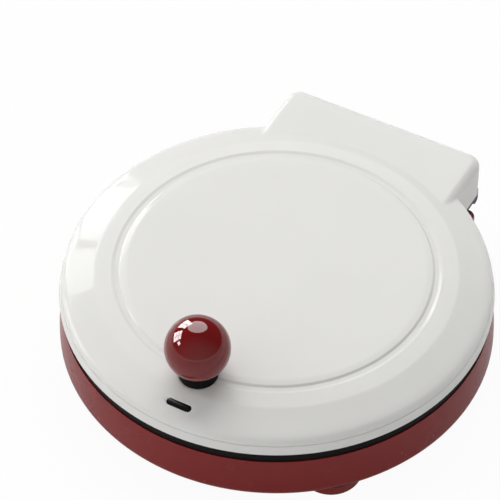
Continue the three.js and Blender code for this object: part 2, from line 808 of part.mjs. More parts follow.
function lidShell() {
  let shell = turned([...lidOutside(), [0, lidEdgeHeight]], outsideSteps);
  const hood = roundedBox(
    hoodHalfWidth, hoodFront, hoodBack, hoodBottom, hoodTop, hoodCornerRadius, 0, hoodEdgeRadius,
  );
  shell = shell.add(hood);
  let hollow = turned(lidInside());
  hollow = hollow.add(roundedBox(
    hoodHalfWidth - lidWall, hoodFront + lidWall, hoodBack - lidWall,
    hoodBottom - overrun, hoodTop - lidWall,
    hoodCornerRadius - lidWall, 0, hoodEdgeRadius - lidWall,
  ));
  const bowlRoom = bar(hoodBowlRadius, hoodBottom - overrun, lidEdgeHeight, 0, 0, ringSteps);
  shell = shell.subtract(hollow).subtract(bowlRoom);
  for (const { x, y } of lidScrewPlaces) {
    const top = shoulderAt(lidScrewRingRadius) - lidWall / 2;
    shell = shell.add(bar(lidBossRadius, lidBossBottom, top, x, y));
    shell = shell.subtract(bar(screwHole, lidBossBottom - overrun, lidScrewSeat + lidScrewLength, x, y));
  }
  for (const { x, y } of hoodBosses) {
    shell = shell.add(bar(hoodBossRadius, hoodBottom, hoodTop - hoodEdgeRadius, x, y));
    shell = shell.subtract(bar(screwHole, hoodBottom - overrun, hoodBottom + hoodScrewLength, x, y));
  }
  const atKnob = (radius, bottom, top) => bar(radius, bottom, top, 0, -knobRingRadius, smallSteps);
  const collarRoom = Math.max(collarFootRadius, collarTopRadius) + 2 * seatGap;
  shell = shell.subtract(atKnob(collarRoom, knobSeatHeight, discHeight + overrun));
  shell = shell.add(atKnob(collarFootRadius, knobSeatHeight - lidWall, knobSeatHeight));
  shell = shell.add(atKnob(knobBossRadius, knobBossBottom, knobSeatHeight));
  shell = shell.subtract(atKnob(boltRadius + screwPlay, knobBossBottom - overrun, discHeight));
  const slot = pillBar(windowLength + 2 * seatGap, windowWidth + 2 * seatGap, -overrun, 2 * lidWall);
  shell = shell.subtract(solidOf(ontoShoulder(slot)));
  return piece('lid_shell', shell, offWhiteGloss);
}

// The hood's screw bosses stand in a row between the hinge's lugs, grown into the rear wall
const hoodBosses = Array.from({ length: hoodBossCount }, (_, k) => ({
  x: (lugInnerX - hoodBossInset) * ((2 * k) / (hoodBossCount - 1) - 1),
  y: hoodBack - lidWall - hoodBossRadius + hoodBossOverlap,
}));

function lidInnerRing() {
  const outside = lidRadius - lidWall - seatGap;
  const topOutside = outside - skirtDraft - skirtLedge;
  const top = skirtTop - lidRingUpstandRoom;
  let ring = turned([
    [lidRingInnerRadius, lidEdgeHeight],
    [outside, lidEdgeHeight],
    [topOutside, top],
    [topOutside - lidRingUpstandWall, top],
    [topOutside - lidRingUpstandWall, lidRingTop],
    [lidRingInnerRadius, lidRingTop],
  ]);
  for (const { x, y } of lidScrewPlaces) {
    ring = ring.subtract(bar(screwHole, lidEdgeHeight - overrun, lidRingTop + overrun, x, y));
    ring = ring.subtract(bar(screwRecess, lidEdgeHeight - overrun, lidScrewSeat, x, y));
  }
  return piece('lid_inner_ring', ring, blackPlastic);
}

function upperPlate() {
  const slope = upperPanDepth;
  const flangeTop = upperSeat + plateFlange;
  let plate = turned([
    [0, upperPanCeiling],
    [upperPanRadius, upperPanCeiling],
    [upperPanRadius + slope, upperSeat],
    [plateRadius, upperSeat],
    [plateRadius, flangeTop],
    [upperPanRadius + slope + plateThickness / 2, flangeTop],
    [upperPanRadius + plateThickness / 2, upperPlateBack],
    [0, upperPlateBack],
  ]);
  for (const { x, y } of lidScrewPlaces) {
    plate = plate.subtract(bar(screwHole, upperSeat - overrun, flangeTop + overrun, x, y));
  }
  const bossTop = upperReflectorTop - sheet - seatGap;
  plate = plate.add(bar(upperBossRadius, upperPlateBack - plateThickness / 2, bossTop, 0, 0, smallSteps));
  plate = plate.subtract(bar(screwHole, upperPlateBack, bossTop + overrun, 0, 0));
  return piece('upper_plate', plate, nonStick);
}

function upperElement() {
  const solid = elementSolid(upperPlateBack + seatGap + elementRadius);
  return piece('upper_heating_element', solid, elementSteel);
}

function upperReflector() {
  const brimBottom = upperPlateBack + seatGap;
  const wallRadius = upperReflectorRadius - upperReflectorBrim;
  const pan = turned([
    [0, upperReflectorTop - sheet],
    [wallRadius - sheet, upperReflectorTop - sheet],
    [wallRadius, brimBottom],
    [upperReflectorRadius, brimBottom],
    [upperReflectorRadius, brimBottom + sheet],
    [wallRadius + sheet, brimBottom + sheet],
    [wallRadius, upperReflectorTop],
    [0, upperReflectorTop],
  ], innerSteps);
  const hole = bar(screwHole, upperReflectorTop - sheet - overrun, upperReflectorTop + overrun);
  return piece('upper_reflector', pan.subtract(hole), steelSheet);
}

function reflectorScrew() {
  const length = upperReflectorTop - upperPlateBack - 2 * seatGap;
  const screw = piece('reflector_screw', screwSolid(length), screwSteel);
  screw.rotation.x = halfTurn;
  screw.position.z = upperReflectorTop + seatGap;
  return screw;
}

function lidScrews() {
  return lidScrewPlaces.map(({ x, y }, k) => {
    const screw = piece(`lid_screw_${k + 1}`, screwSolid(lidScrewLength), screwSteel);
    screw.position.set(x, y, lidScrewSeat - seatGap);
    return screw;
  });
}

function hingePlate() {
  const back = hoodBack - hingePlateInset;
  const corner = hoodCornerRadius - hingePlateInset;
  let plate = roundedBox(knuckleOuterX, hoodFront, back, hingePlateBottom, hingePlateTop, corner, 0, 0);
  const room = hoodBowlRadius + hingePlateInset;
  plate = plate.subtract(bar(room, hingePlateBottom - overrun, hingePlateTop + overrun, 0, 0, ringSteps));
  for (const side of [-1, 1]) {
    const shape = new THREE.Shape();
    shape.moveTo(hingeBack + knuckleRadius, hingePlateTop - hingePlateThickness / 2);
    shape.lineTo(hingeBack - knuckleRadius, hingePlateTop - hingePlateThickness / 2);
    shape.absarc(hingeBack, hingeHeight, knuckleRadius, halfTurn, 2 * halfTurn, false);
    const knuckle = sideways(shape, ...span(side, knuckleInnerX, knuckleOuterX));
    const drilled = span(side, knuckleInnerX - overrun, knuckleOuterX + overrun);
    const bore = hingeBar(pinRadius + seatGap, ...drilled);
    const sunk = span(side, knuckleOuterX - pinHeadHeight - seatGap, knuckleOuterX + overrun);
    const headRoom = hingeBar(pinHeadRadius + seatGap, ...sunk);
    plate = plate.add(knuckle.subtract(bore).subtract(headRoom));
  }
  for (const { x, y } of hoodBosses) {
    plate = plate.subtract(bar(screwHole, hingePlateBottom - overrun, hingePlateTop + overrun, x, y));
  }
  return piece('hinge_plate', plate, greyPlastic);
}

function hingePlateScrews() {
  return hoodBosses.map(({ x, y }, k) => {
    const screw = piece(`hinge_plate_screw_${k + 1}`, screwSolid(hoodScrewLength), screwSteel);
    screw.position.set(x, y, hingePlateBottom - seatGap);
    return screw;
  });
}

// The ball, the collar, the bolt and the washer stand on one upright axis at the lid's front
function knob() {
  const group = new THREE.Group();
  group.position.set(0, -knobRingRadius, 0);
  const bore = boltRadius + screwPlay;
  const foot = knobSeatHeight + seatGap;
  const edge = collarEdgeRadius;
  const cupAngle = (radius) => -Math.acos(radius / collarCupRadius);
  const collar = turned([
    [bore, foot],
    ...arc(collarFootRadius - edge, foot + edge, edge, -quarterTurn, 0, 2),
    [collarTopRadius, cupHeight(collarTopRadius)],
    ...arc(0, ballHeight, collarCupRadius, cupAngle(collarTopRadius), cupAngle(bore)).slice(1),
  ], smallSteps);
  group.add(piece('knob_collar', collar, blackPlastic));

  const ballSteps = 3 * arcSteps;
  const drilled = Math.asin(bore / ballRadius);
  const boreTop = ballBottom + boltGrip + seatGap;
  const ball = turned([
    [0, boreTop],
    [bore, boreTop],
    ...arc(0, ballHeight, ballRadius, drilled - quarterTurn, quarterTurn, ballSteps).slice(0, -1),
    [0, ballHeight + ballRadius],
  ], ringSteps / 2);
  group.add(piece('knob_ball', ball, redBall));

  const washerTop = knobBossBottom - seatGap;
  const washerBottom = washerTop - washerThickness;
  const washer = turned([
    [bore, washerBottom],
    [washerRadius, washerBottom],
    [washerRadius, washerTop],
    [bore, washerTop],
  ], smallSteps);
  group.add(piece('knob_washer', washer, screwSteel));

  const boltSeat = washerBottom - seatGap;
  const tip = boreTop - seatGap;
  const head = turned([
    [0, boltSeat - boltHeadHeight],
    [boltHeadRadius, boltSeat - boltHeadHeight],
    [boltHeadRadius, boltSeat],
    [0, boltSeat],
  ], 6);
  const shank = turned([
    [0, boltSeat - boltHeadHeight / 2],
    [boltRadius, boltSeat - boltHeadHeight / 2],
    [boltRadius, tip - boltTipChamfer],
    [boltRadius - boltTipChamfer, tip],
    [0, tip],
  ], smallSteps);
  group.add(piece('knob_bolt', head.add(shank), screwSteel));
  return group;
}

// The window, its holder and two lamps, square to the lid's shoulder
function indicator() {
  const group = new THREE.Group();
  group.position.set(0, -windowRingRadius, windowHeight);
  group.rotation.x = shoulderSlope;
  const [halfLength, halfWidth] = [windowLength / 2 + windowBrim, windowWidth / 2 + windowBrim];
  const sag = (halfLength ** 2 * Math.sin(shoulderSlope)) / (2 * (windowRingRadius - halfWidth));
  const brimTop = lidWall + sag + 2 * seatGap;
  const brimBottom = brimTop + windowBrimThickness;
  const lens = solidOf(pillBar(windowLength, windowWidth, windowSink, brimBottom));
  const brim = solidOf(pillBar(2 * halfLength, 2 * halfWidth, brimTop, brimBottom));
  group.add(piece('indicator_window', lens.add(brim), darkWindow));

  const holderTop = brimBottom + seatGap;
  const holderDepth = lampFloor + lampHeight + 2 * seatGap;
  const holderWidth = 2 * (lampRadius + seatGap + holderWall);
  const block = new THREE.BoxGeometry(2 * halfLength, holderWidth, holderDepth);
  let holder = solidOf(block.translate(0, 0, -holderTop - holderDepth / 2));
  const names = ['power_lamp', 'ready_lamp'];
  for (const [k, name] of names.entries()) {
    const x = lampPitch * (k - (names.length - 1) / 2);
    const floor = -holderTop - holderDepth + lampFloor;
    holder = holder.subtract(bar(lampRadius + seatGap, floor, overrun - holderTop, x, 0, smallSteps / 2));
    const lampTop = -holderTop - seatGap;
    const dome = arc(0, lampTop - lampRadius, lampRadius, 0, quarterTurn, 2).slice(0, -1);
    const foot = floor + seatGap;
    const lamp = turned([[0, foot], [lampRadius, foot], ...dome, [0, lampTop]], smallSteps / 2);
    const mesh = piece(name, lamp, lampGlass);
    mesh.position.x = x;
    group.add(mesh);
  }
  group.add(piece('lamp_holder', holder, ceramicWhite));
  return group;
}

const base = new THREE.Group();
base.add(baseShell(), ...feet(), baseRing(), lowerPlate(), lowerElement(), lowerReflector());
base.add(thermostat(), thermalFuse(), terminalBlock(), cordGland(), ...baseScrews(), ...hingePins());

const lid = new THREE.Group();
lid.add(lidShell(), lidInnerRing(), upperPlate(), upperElement(), upperReflector(), reflectorScrew());
lid.add(...lidScrews(), hingePlate(), ...hingePlateScrews(), knob(), indicator());

// The finished object stands on the table with its box centred on the Z axis
const pizzaMaker = new THREE.Group();
pizzaMaker.add(base, lid);
const box = new THREE.Box3().setFromObject(pizzaMaker, true);
const middle = box.getCenter(new THREE.Vector3());
pizzaMaker.position.set(-middle.x, -middle.y, -box.min.z);

export default pizzaMaker;
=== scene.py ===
import json
import math

import bmesh
import bpy
from mathutils import Matrix, Vector


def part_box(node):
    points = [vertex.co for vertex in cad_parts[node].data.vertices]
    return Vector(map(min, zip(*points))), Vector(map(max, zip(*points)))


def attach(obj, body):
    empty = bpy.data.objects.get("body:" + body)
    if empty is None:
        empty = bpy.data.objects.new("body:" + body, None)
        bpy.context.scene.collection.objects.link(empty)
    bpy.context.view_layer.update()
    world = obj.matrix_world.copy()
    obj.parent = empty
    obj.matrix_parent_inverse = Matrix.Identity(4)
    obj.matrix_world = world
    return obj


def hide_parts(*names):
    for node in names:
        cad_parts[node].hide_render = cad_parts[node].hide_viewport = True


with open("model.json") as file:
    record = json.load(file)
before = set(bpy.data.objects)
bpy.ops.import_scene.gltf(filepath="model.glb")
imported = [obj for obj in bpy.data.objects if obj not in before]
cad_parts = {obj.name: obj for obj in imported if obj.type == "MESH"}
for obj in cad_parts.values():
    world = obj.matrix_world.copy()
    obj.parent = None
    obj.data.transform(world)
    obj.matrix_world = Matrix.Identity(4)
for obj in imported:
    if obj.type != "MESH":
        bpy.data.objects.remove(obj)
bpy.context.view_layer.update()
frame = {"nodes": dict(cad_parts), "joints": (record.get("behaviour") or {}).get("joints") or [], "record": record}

# Shapes are drawn in millimetres from the lid's upright axis and from the table, the front at -Y.
# They become metres in the frame when their mesh is made.
MM = 0.001
ring_low, ring_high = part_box("lid_inner_ring")
AXIS_Y = (ring_low.y + ring_high.y) / 2


def box(node):
    """A CAD node's lowest and highest corners, in millimetres from the lid's axis."""
    low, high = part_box(node)
    shift = Vector((0, AXIS_Y, 0))
    return (low - shift) / MM, (high - shift) / MM


def reach(node):
    """Half of a CAD node's width from left to right."""
    low, high = box(node)
    return (high.x - low.x) / 2


def bottom(node):
    return box(node)[0].z


def top(node):
    return box(node)[1].z


def middle(node):
    low, high = box(node)
    return (low + high) / 2


def four(kind):
    """The middles of a kind's four numbered nodes."""
    return [middle(f"{kind}_{k}") for k in range(1, 5)]


# Fineness of round forms
ROUND_STEPS = 180
KNOB_STEPS = 96
FOOT_STEPS, PAD_STEPS = 72, 60
SMALL_STEPS = 48
HEAD_STEPS = 36
HOLE_STEPS = 24
FILLET_STEPS = 5
EDGE_STEPS = 8
FINE_BEARING, COARSE_BEARING = math.radians(0.4), math.radians(2)
SHARP_ANGLE = math.radians(32)
QUARTER = math.pi / 2
TINY = 1e-6
MERGE_DISTANCE, SHORTEST_EDGE = 0.002, 0.001

# Shared clearances and screws
SEAT_GAP = 0.3
SCREW_RADIUS = 1.9
SCREW_HEAD_RADIUS = 3.5
SCREW_HEAD_HEIGHT = 1.7
SCREW_PLAY = 0.4
SCREW_HOLE = SCREW_RADIUS + SCREW_PLAY
SCREW_RECESS = SCREW_HEAD_RADIUS + SCREW_PLAY
CUT_OVERRUN = 1

# Lid: heights and reaches from the frame, with the moulding's own sizes
LID_EDGE = bottom("lid_inner_ring")
DISC_HEIGHT = top("lid_shell")
LID_WALL = 2.5
RING_TO_EDGE = 2.4
LID_RADIUS = reach("lid_inner_ring") + SEAT_GAP + RING_TO_EDGE
SKIRT_HEIGHT = 8
SKIRT_DRAFT = 1.4
SKIRT_LEDGE = 0.4
SKIRT_LINE_DEPTH = 0.6
SKIRT_LINE_HEIGHT = 0.4
SKIRT_TOP = LID_EDGE + SKIRT_HEIGHT
SHOULDER_RUN = 26.7
SHOULDER_EDGE = 6.5
SHOULDER_OUTER_RADIUS = LID_RADIUS - SKIRT_DRAFT - SKIRT_LEDGE
SHOULDER_RADIUS = SHOULDER_OUTER_RADIUS - SHOULDER_RUN
FLAT_RING_WIDTH = 13
FLAT_RING_RISE = 1.5
GROOVE_SLOPE_RUN = 4.2
GROOVE_DEPTH = 0.8
GROOVE_FLOOR_HALF = 1.7
DISC_STEP = 2.4
DISC_STEP_RUN = 3.1
GROOVE_OUTER_RADIUS = SHOULDER_RADIUS - FLAT_RING_WIDTH
GROOVE_FLOOR_RADIUS = GROOVE_OUTER_RADIUS - GROOVE_SLOPE_RUN
GROOVE_FLOOR_HEIGHT = DISC_HEIGHT - DISC_STEP
GROOVE_OUTER_HEIGHT = GROOVE_FLOOR_HEIGHT + GROOVE_DEPTH
SHOULDER_HEIGHT = GROOVE_OUTER_HEIGHT - FLAT_RING_RISE
DISC_RADIUS = GROOVE_FLOOR_RADIUS - DISC_STEP_RUN
DISC_EDGE_RUN = 4.4
DISC_EDGE_DROP = 0.8

# The shoulder is a cone that ends in a round edge over the skirt
SHOULDER_RISE = SHOULDER_HEIGHT - SKIRT_TOP
EDGE_CENTRE = SHOULDER_OUTER_RADIUS - SHOULDER_EDGE
SHOULDER_SPAN = math.hypot(EDGE_CENTRE - SHOULDER_RADIUS, SHOULDER_RISE)
SHOULDER_PITCH = math.atan2(SHOULDER_RISE, EDGE_CENTRE - SHOULDER_RADIUS)
SHOULDER_SLOPE = SHOULDER_PITCH - math.asin(SHOULDER_EDGE / SHOULDER_SPAN)

# Hinge hood of the lid: it stands out past the knuckles and ends above the solid hinge plate
HOOD_MARGIN = 3
HOOD_DROP = 2.5
HOOD_LIFT = 4.4
HOOD_HALF_WIDTH = reach("hinge_plate") + HOOD_MARGIN
HOOD_BACK = box("lid_shell")[1].y
HOOD_TOP = SHOULDER_HEIGHT - HOOD_DROP
HOOD_BOTTOM = top("hinge_plate") + SEAT_GAP + HOOD_LIFT
HOOD_CORNER = 11
HOOD_EDGE = 7
HOOD_BOWL_RADIUS = 172.8
HOOD_BEARING = math.radians(38)
# Fillet where the hood or the housing meets the round form, and how near to it the close loops lie
CREASE = 1.6
CREASE_NEAR = 1.1

# Base bowl and its rear housing
BASE_RIM_HEIGHT = top("base_shell")
BASE_FLOOR = bottom("base_shell")
BASE_WALL = 2.5
BELLY_RADIUS = reach("base_shell")
RIM_INSET = 1.4
RIM_RADIUS = LID_RADIUS - RIM_INSET
HEEL_RADIUS = 10
HOUSING_SHOULDER = 4
HOUSING_REACH = 3.7
HOUSING_HALF_WIDTH = HOOD_HALF_WIDTH + HOUSING_SHOULDER
HOUSING_BACK = BELLY_RADIUS + HOUSING_REACH
HOUSING_BEARING = math.radians(36)
HOUSING_TOP = 30
HOUSING_CORNER = 7
HOUSING_EDGE = 3
VENT_RING_RADIUS = 62
VENT_LENGTH = 26
VENT_WIDTH = 3.2
VENT_COUNT = 12
BOSS_RADIUS = 7
FLOOR_LOOPS = (0, 40, 80, 110, 140)
FOOT_RADIUS, FOOT_LIFT = 24, 1.2
FOOT_TOP_RADIUS, FOOT_TOP = 26, 20
PAD_RADIUS, PAD_SEAT = 14.7, 3.5
GLAND_RADIUS, GLAND_BORE, GLAND_FLANGE = 5.2, 3.4, 6.8

# Hinge
hinge = frame["joints"][0]
HINGE_Y = (hinge["pos_m"][1] - AXIS_Y) / MM
HINGE_Z = hinge["pos_m"][2] / MM
KNUCKLE_RADIUS = 4.2
KNUCKLE_WIDTH = 10
LUG_WIDTH = 11
LUG_FOOT_RISE = 5
PIN_RADIUS = 2.2
PIN_BORE = PIN_RADIUS + SEAT_GAP
PIN_HEAD_RADIUS = 2.9
PIN_HEAD_HEIGHT = 1.6
KNUCKLE_OUTER_X = reach("hinge_plate")
KNUCKLE_INNER_X = KNUCKLE_OUTER_X - KNUCKLE_WIDTH
LUG_OUTER_X = KNUCKLE_INNER_X - SEAT_GAP
LUG_INNER_X = LUG_OUTER_X - LUG_WIDTH
PLATE_INSET = 0.4
PLATE_THICKNESS = 3.4
PLATE_TOP = HOOD_BOTTOM - SEAT_GAP
PLATE_BOTTOM = PLATE_TOP - PLATE_THICKNESS

# Knob and window
KNOB_Y = middle("knob_ball").y
BALL_RADIUS = reach("knob_ball")
BALL_HEIGHT = top("knob_ball") - BALL_RADIUS
KNOB_SEAT = bottom("knob_collar") - SEAT_GAP
KNOB_BORE = 3.4
KNOB_BORE_DEPTH = 14
COLLAR_SLIMMING = 1.2
COLLAR_TAPER = 0.6
COLLAR_FOOT_RADIUS = reach("knob_collar") - COLLAR_SLIMMING
COLLAR_TOP_RADIUS = COLLAR_FOOT_RADIUS - COLLAR_TAPER
WINDOW_LENGTH = 20.4
WINDOW_WIDTH = 5.2
WINDOW_PLACE = 0.46

# Baking plates and the rings round them
PLATE_FLANGE = 2.5
PLATE_WALL = 3
LOWER_PAN_INSET, LOWER_PAN_DEPTH = 13.7, 12.1
UPPER_PAN_INSET, UPPER_PAN_DEPTH = 15.7, 3.7
POST_RADIUS = 5
UPPER_BOSS_RADIUS = 6
BAND_WALL, BAND_INNER_RADIUS = 3, 150.5
LID_RING_THICKNESS, LID_RING_INNER_RADIUS = 3, 148
UPSTAND_DRAFT, UPSTAND_WALL = 1.8, 2.5


# Shapes are pairs of points in millimetres and faces

def moved(shape, matrix):
    points, faces = shape
    return [tuple(matrix @ Vector(p)) for p in points], faces


def merged(*shapes):
    """Several shapes as one list of points and faces."""
    points, faces = [], []
    for more_points, more_faces in shapes:
        start = len(points)
        points += more_points
        faces += [[start + k for k in face] for face in more_faces]
    return points, faces


def stitched(rings, closed=False):
    """Faces between neighbouring rings that have as many points each; ones without area are left out."""
    faces = []
    pairs = list(zip(rings, rings[1:]))
    if closed:
        pairs.append((rings[-1], rings[0]))
    for a, b in pairs:
        for k in range(len(a)):
            after = (k + 1) % len(a)
            face = list(dict.fromkeys([a[k], a[after], b[after], b[k]]))
            if len(face) > 2:
                faces.append(face)
    return faces


def turned(profile, steps=ROUND_STEPS, x=0, y=0):
    """A profile of (radius, height) points, closed on itself or the axis, turned about an upright axis."""
    points, rings = [], []
    for radius, height in profile:
        start = len(points)
        if radius < TINY:
            points.append((x, y, height))
            rings.append([start] * steps)
            continue
        for k in range(steps):
            angle = 2 * math.pi * k / steps
            points.append((x + radius * math.cos(angle), y + radius * math.sin(angle), height))
        rings.append(list(range(start, start + steps)))
    return points, stitched(rings, closed=True)


def bar(radius, low, high, x=0, y=0, steps=SMALL_STEPS):
    """An upright round bar."""
    return turned([(0, low), (radius, low), (radius, high), (0, high)], steps, x, y)


def bars(places, radius, low, high, steps=SMALL_STEPS):
    """Upright round bars at several places, as one shape."""
    return merged(*[bar(radius, low, high, p.x, p.y, steps) for p in places])


def arc(across, up, size, start, end, steps):
    """Points along an arc about a point; angles are from across towards up."""
    points = []
    for k in range(steps + 1):
        angle = start + (end - start) * k / steps
        points.append((across + size * math.cos(angle), up + size * math.sin(angle)))
    return points


def rounded(corners, steps=FILLET_STEPS):
    """A closed outline of (across, up, fillet) corners with each corner rounded by its own radius."""
    points = []
    count = len(corners)
    for k, (across, up, fillet) in enumerate(corners):
        here = Vector((across, up))
        before = Vector(corners[k - 1][:2]) - here
        after = Vector(corners[(k + 1) % count][:2]) - here
        opening = before.angle(after) if before.length and after.length else math.pi
        if fillet < TINY or opening > math.pi - TINY:
            points.append(tuple(here))
            continue
        run = min(fillet / math.tan(opening / 2), before.length * 0.49, after.length * 0.49)
        size = run * math.tan(opening / 2)
        middle_way = (before.normalized() + after.normalized()).normalized()
        centre = here + middle_way * (size / math.sin(opening / 2))
        start = here + before.normalized() * run - centre
        end = here + after.normalized() * run - centre
        sweep = math.atan2(start.x * end.y - start.y * end.x, start.dot(end))
        for step in range(steps + 1):
            turn = sweep * step / steps
            across_turned = start.x * math.cos(turn) - start.y * math.sin(turn)
            up_turned = start.x * math.sin(turn) + start.y * math.cos(turn)
            points.append((centre.x + across_turned, centre.y + up_turned))
    return points


def prism(outline, low, high):
    """An outline of (x, y) points made solid between two heights."""
    count = len(outline)
    points = [(x, y, low) for x, y in outline] + [(x, y, high) for x, y in outline]
    faces = [list(range(count))[::-1], list(range(count, 2 * count))]
    for k in range(count):
        after = (k + 1) % count
        faces.append([k, after, count + after, count + k])
    return points, faces


def numbered(loops):
    """The points of loops that have as many points each, and each loop's own numbers among them."""
    points = [p for loop in loops for p in loop]
    count = len(loops[0])
    return points, [list(range(level * count, (level + 1) * count)) for level in range(len(loops))]


def lofted(loops):
    """A solid through loops of points, capped at both ends."""
    points, rings = numbered(loops)
    return points, stitched(rings) + [rings[0][::-1], rings[-1]]


def skin_of(loops):
    """An open skin through loops of points."""
    points, rings = numbered(loops)
    return points, stitched(rings)


# Y and Z of an outline drawn from the side, with its depth along X
SIDEWAYS = Matrix(((0, 0, 1, 0), (1, 0, 0, 0), (0, 1, 0, 0), (0, 0, 0, 1)))
# An upright axis laid along Y
ALONG_Y = Matrix(((1, 0, 0, 0), (0, 0, 1, 0), (0, -1, 0, 0), (0, 0, 0, 1)))


def solid(name, shape, closed=True):
    """An object from a shape, merged, facing outwards and smooth but for its sharp edges."""
    points, faces = shape
    mesh = bpy.data.meshes.new(name)
    mesh.from_pydata([(x * MM, y * MM + AXIS_Y, z * MM) for x, y, z in points], [], faces)
    clean(mesh, closed)
    piece = bpy.data.objects.new(name, mesh)
    bpy.context.scene.collection.objects.link(piece)
    return piece


def clean(mesh, closed=True):
    """Merges a mesh's points and turns its faces outwards, an open skin's away from a point inside."""
    inside = Vector((0, AXIS_Y, LID_EDGE * MM))
    work = bmesh.new()
    work.from_mesh(mesh)
    bmesh.ops.remove_doubles(work, verts=work.verts, dist=MERGE_DISTANCE * MM)
    bmesh.ops.dissolve_degenerate(work, edges=work.edges, dist=SHORTEST_EDGE * MM)
    bmesh.ops.recalc_face_normals(work, faces=work.faces)
    if not closed:
        if sum(f.normal.dot(f.calc_center_median() - inside) * f.calc_area() for f in work.faces) < 0:
            bmesh.ops.reverse_faces(work, faces=work.faces)
    work.to_mesh(mesh)
    work.free()
    smooth(mesh)


def smooth(mesh):
    mesh.shade_smooth()
    mesh.set_sharp_from_angle(angle=SHARP_ANGLE)


def settle(piece):
    """Puts the result of a piece's modifiers in its mesh."""
    bpy.context.view_layer.update()
    graph = bpy.context.evaluated_depsgraph_get()
    mesh = bpy.data.meshes.new_from_object(piece.evaluated_get(graph))
    piece.modifiers.clear()
    piece.data = mesh


def combine(piece, shape, operation):
    """Cuts a shape from a piece, or joins it on."""
    other = solid(piece.name + "_tool", shape)
    tool = piece.modifiers.new("combine", "BOOLEAN")
    tool.operation = operation
    tool.solver = "MANIFOLD"
    tool.object = other
    settle(piece)
    bpy.data.objects.remove(other)
    clean(piece.data)


def thicken(piece, wall, even=True):
    """Gives an open skin its wall, inwards."""
    shell = piece.modifiers.new("wall", "SOLIDIFY")
    shell.thickness = wall * MM
    shell.offset = -1
    shell.use_even_offset = even
    shell.use_rim = True
    settle(piece)
    clean(piece.data)


def soften(piece, width, steps):
    """Rounds a piece's sharp edges."""
    edge = piece.modifiers.new("edges", "BEVEL")
    edge.width = width * MM
    edge.segments = steps
    edge.limit_method = "ANGLE"
    edge.angle_limit = SHARP_ANGLE
    settle(piece)
    smooth(piece.data)


def dress(piece, body, slot, *nodes):
    """Gives a piece its slot and material, makes it ride on a body and stand for its CAD nodes."""
    piece.data.materials.clear()
    piece.data.materials.append(MATERIALS[slot])
    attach(piece, body)
    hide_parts(*nodes)


# Procedural materials: noise scales are features per metre, depths are millimetres

CLOUD_SCALE, WEAR_SCALE, WAVE_SCALE, GRAIN_SCALE = 14, 60, 38, 2500
METAL_CLOUD_SCALE, SCRATCH_SCALE, SCRATCH_DEPTH = 45, 900, 0.01
FLECK_SCALE, COAT_WEAR_SCALE, CAST_SCALE, CAST_DEPTH = 3200, 90, 700, 0.03
FLECK_START, FLECK_END = 0.66, 0.72
# Sockets of a colour mix, whose names occur more than once
MIX_FACTOR, MIX_FIRST, MIX_SECOND, MIX_RESULT = 0, 6, 7, 2


def feed(tree, node, inputs):
    """Links a node's inputs to sockets, or sets them to values."""
    for key, value in inputs.items():
        if isinstance(value, bpy.types.NodeSocket):
            tree.links.new(value, node.inputs[key])
        else:
            node.inputs[key].default_value = value


def made(tree, kind, result, inputs, **settings):
    """The result of a new node."""
    node = tree.nodes.new("ShaderNode" + kind)
    for name, value in settings.items():
        setattr(node, name, value)
    feed(tree, node, inputs)
    return node.outputs[result]


def calculated(tree, operation, first, second):
    return made(tree, "Math", "Value", {0: first, 1: second}, operation=operation)


def noise(tree, scale, detail, stretch=(1, 1, 1)):
    """Noise in the object's own space."""
    place = made(tree, "TexCoord", "Object", {})
    place = made(tree, "Mapping", "Vector", {"Vector": place, "Scale": stretch})
    return made(tree, "TexNoise", "Fac", {"Vector": place, "Scale": scale, "Detail": detail})


def ranged(tree, value, low, high, start=0.3, end=0.7):
    """A value spread between two limits."""
    return made(tree, "MapRange", "Result", {
        "Value": value, "From Min": start, "From Max": end, "To Min": low, "To Max": high})


def bumped(tree, value, depth, under=None):
    """A bump, over another one if there is one under it."""
    inputs = {"Height": value, "Distance": depth * MM}
    if under:
        inputs["Normal"] = under
    return made(tree, "Bump", "Normal", inputs)


def blended(tree, factor, first, second):
    """A colour between two, by a factor from 0 to 1."""
    return made(tree, "Mix", MIX_RESULT, {
        MIX_FACTOR: factor, MIX_FIRST: (*first, 1), MIX_SECOND: (*second, 1)}, data_type="RGBA")


def clouded(tree, clouds, colour, shade):
    return blended(tree, ranged(tree, clouds, 0, 1), colour, shade)


def worn(tree, wear, roughness, spread):
    return ranged(tree, wear, roughness - spread, roughness + spread)


def start_material(name):
    material = bpy.data.materials.new(name)
    material.use_nodes = True
    tree = material.node_tree
    return material, tree, tree.nodes["Principled BSDF"]


def moulded(name, colour, shade, roughness, spread, specular, wave=0.0, grain=0.0, grain_scale=GRAIN_SCALE):
    """Moulded plastic: slight clouding of its colour and gloss, a long soft wave, and a fine grain."""
    material, tree, shader = start_material(name)
    surface = {
        "Base Color": clouded(tree, noise(tree, CLOUD_SCALE, 3), colour, shade),
        "Roughness": worn(tree, noise(tree, WEAR_SCALE, 4), roughness, spread),
        "Specular IOR Level": specular,
    }
    if wave:
        surface["Normal"] = bumped(tree, noise(tree, WAVE_SCALE, 1), wave)
    if grain:
        surface["Normal"] = bumped(tree, noise(tree, grain_scale, 2), grain, surface.get("Normal"))
    feed(tree, shader, surface)
    return material


def metal(name, colour, shade, roughness, spread, stretch=(1, 1, 1)):
    """Rolled, plated or heat-darkened metal with fine scratches."""
    material, tree, shader = start_material(name)
    scratches = noise(tree, SCRATCH_SCALE, 3, stretch)
    feed(tree, shader, {
        "Metallic": 1.0,
        "Base Color": clouded(tree, noise(tree, METAL_CLOUD_SCALE, 4), colour, shade),
        "Roughness": worn(tree, scratches, roughness, spread),
        "Normal": bumped(tree, scratches, SCRATCH_DEPTH),
    })
    return material


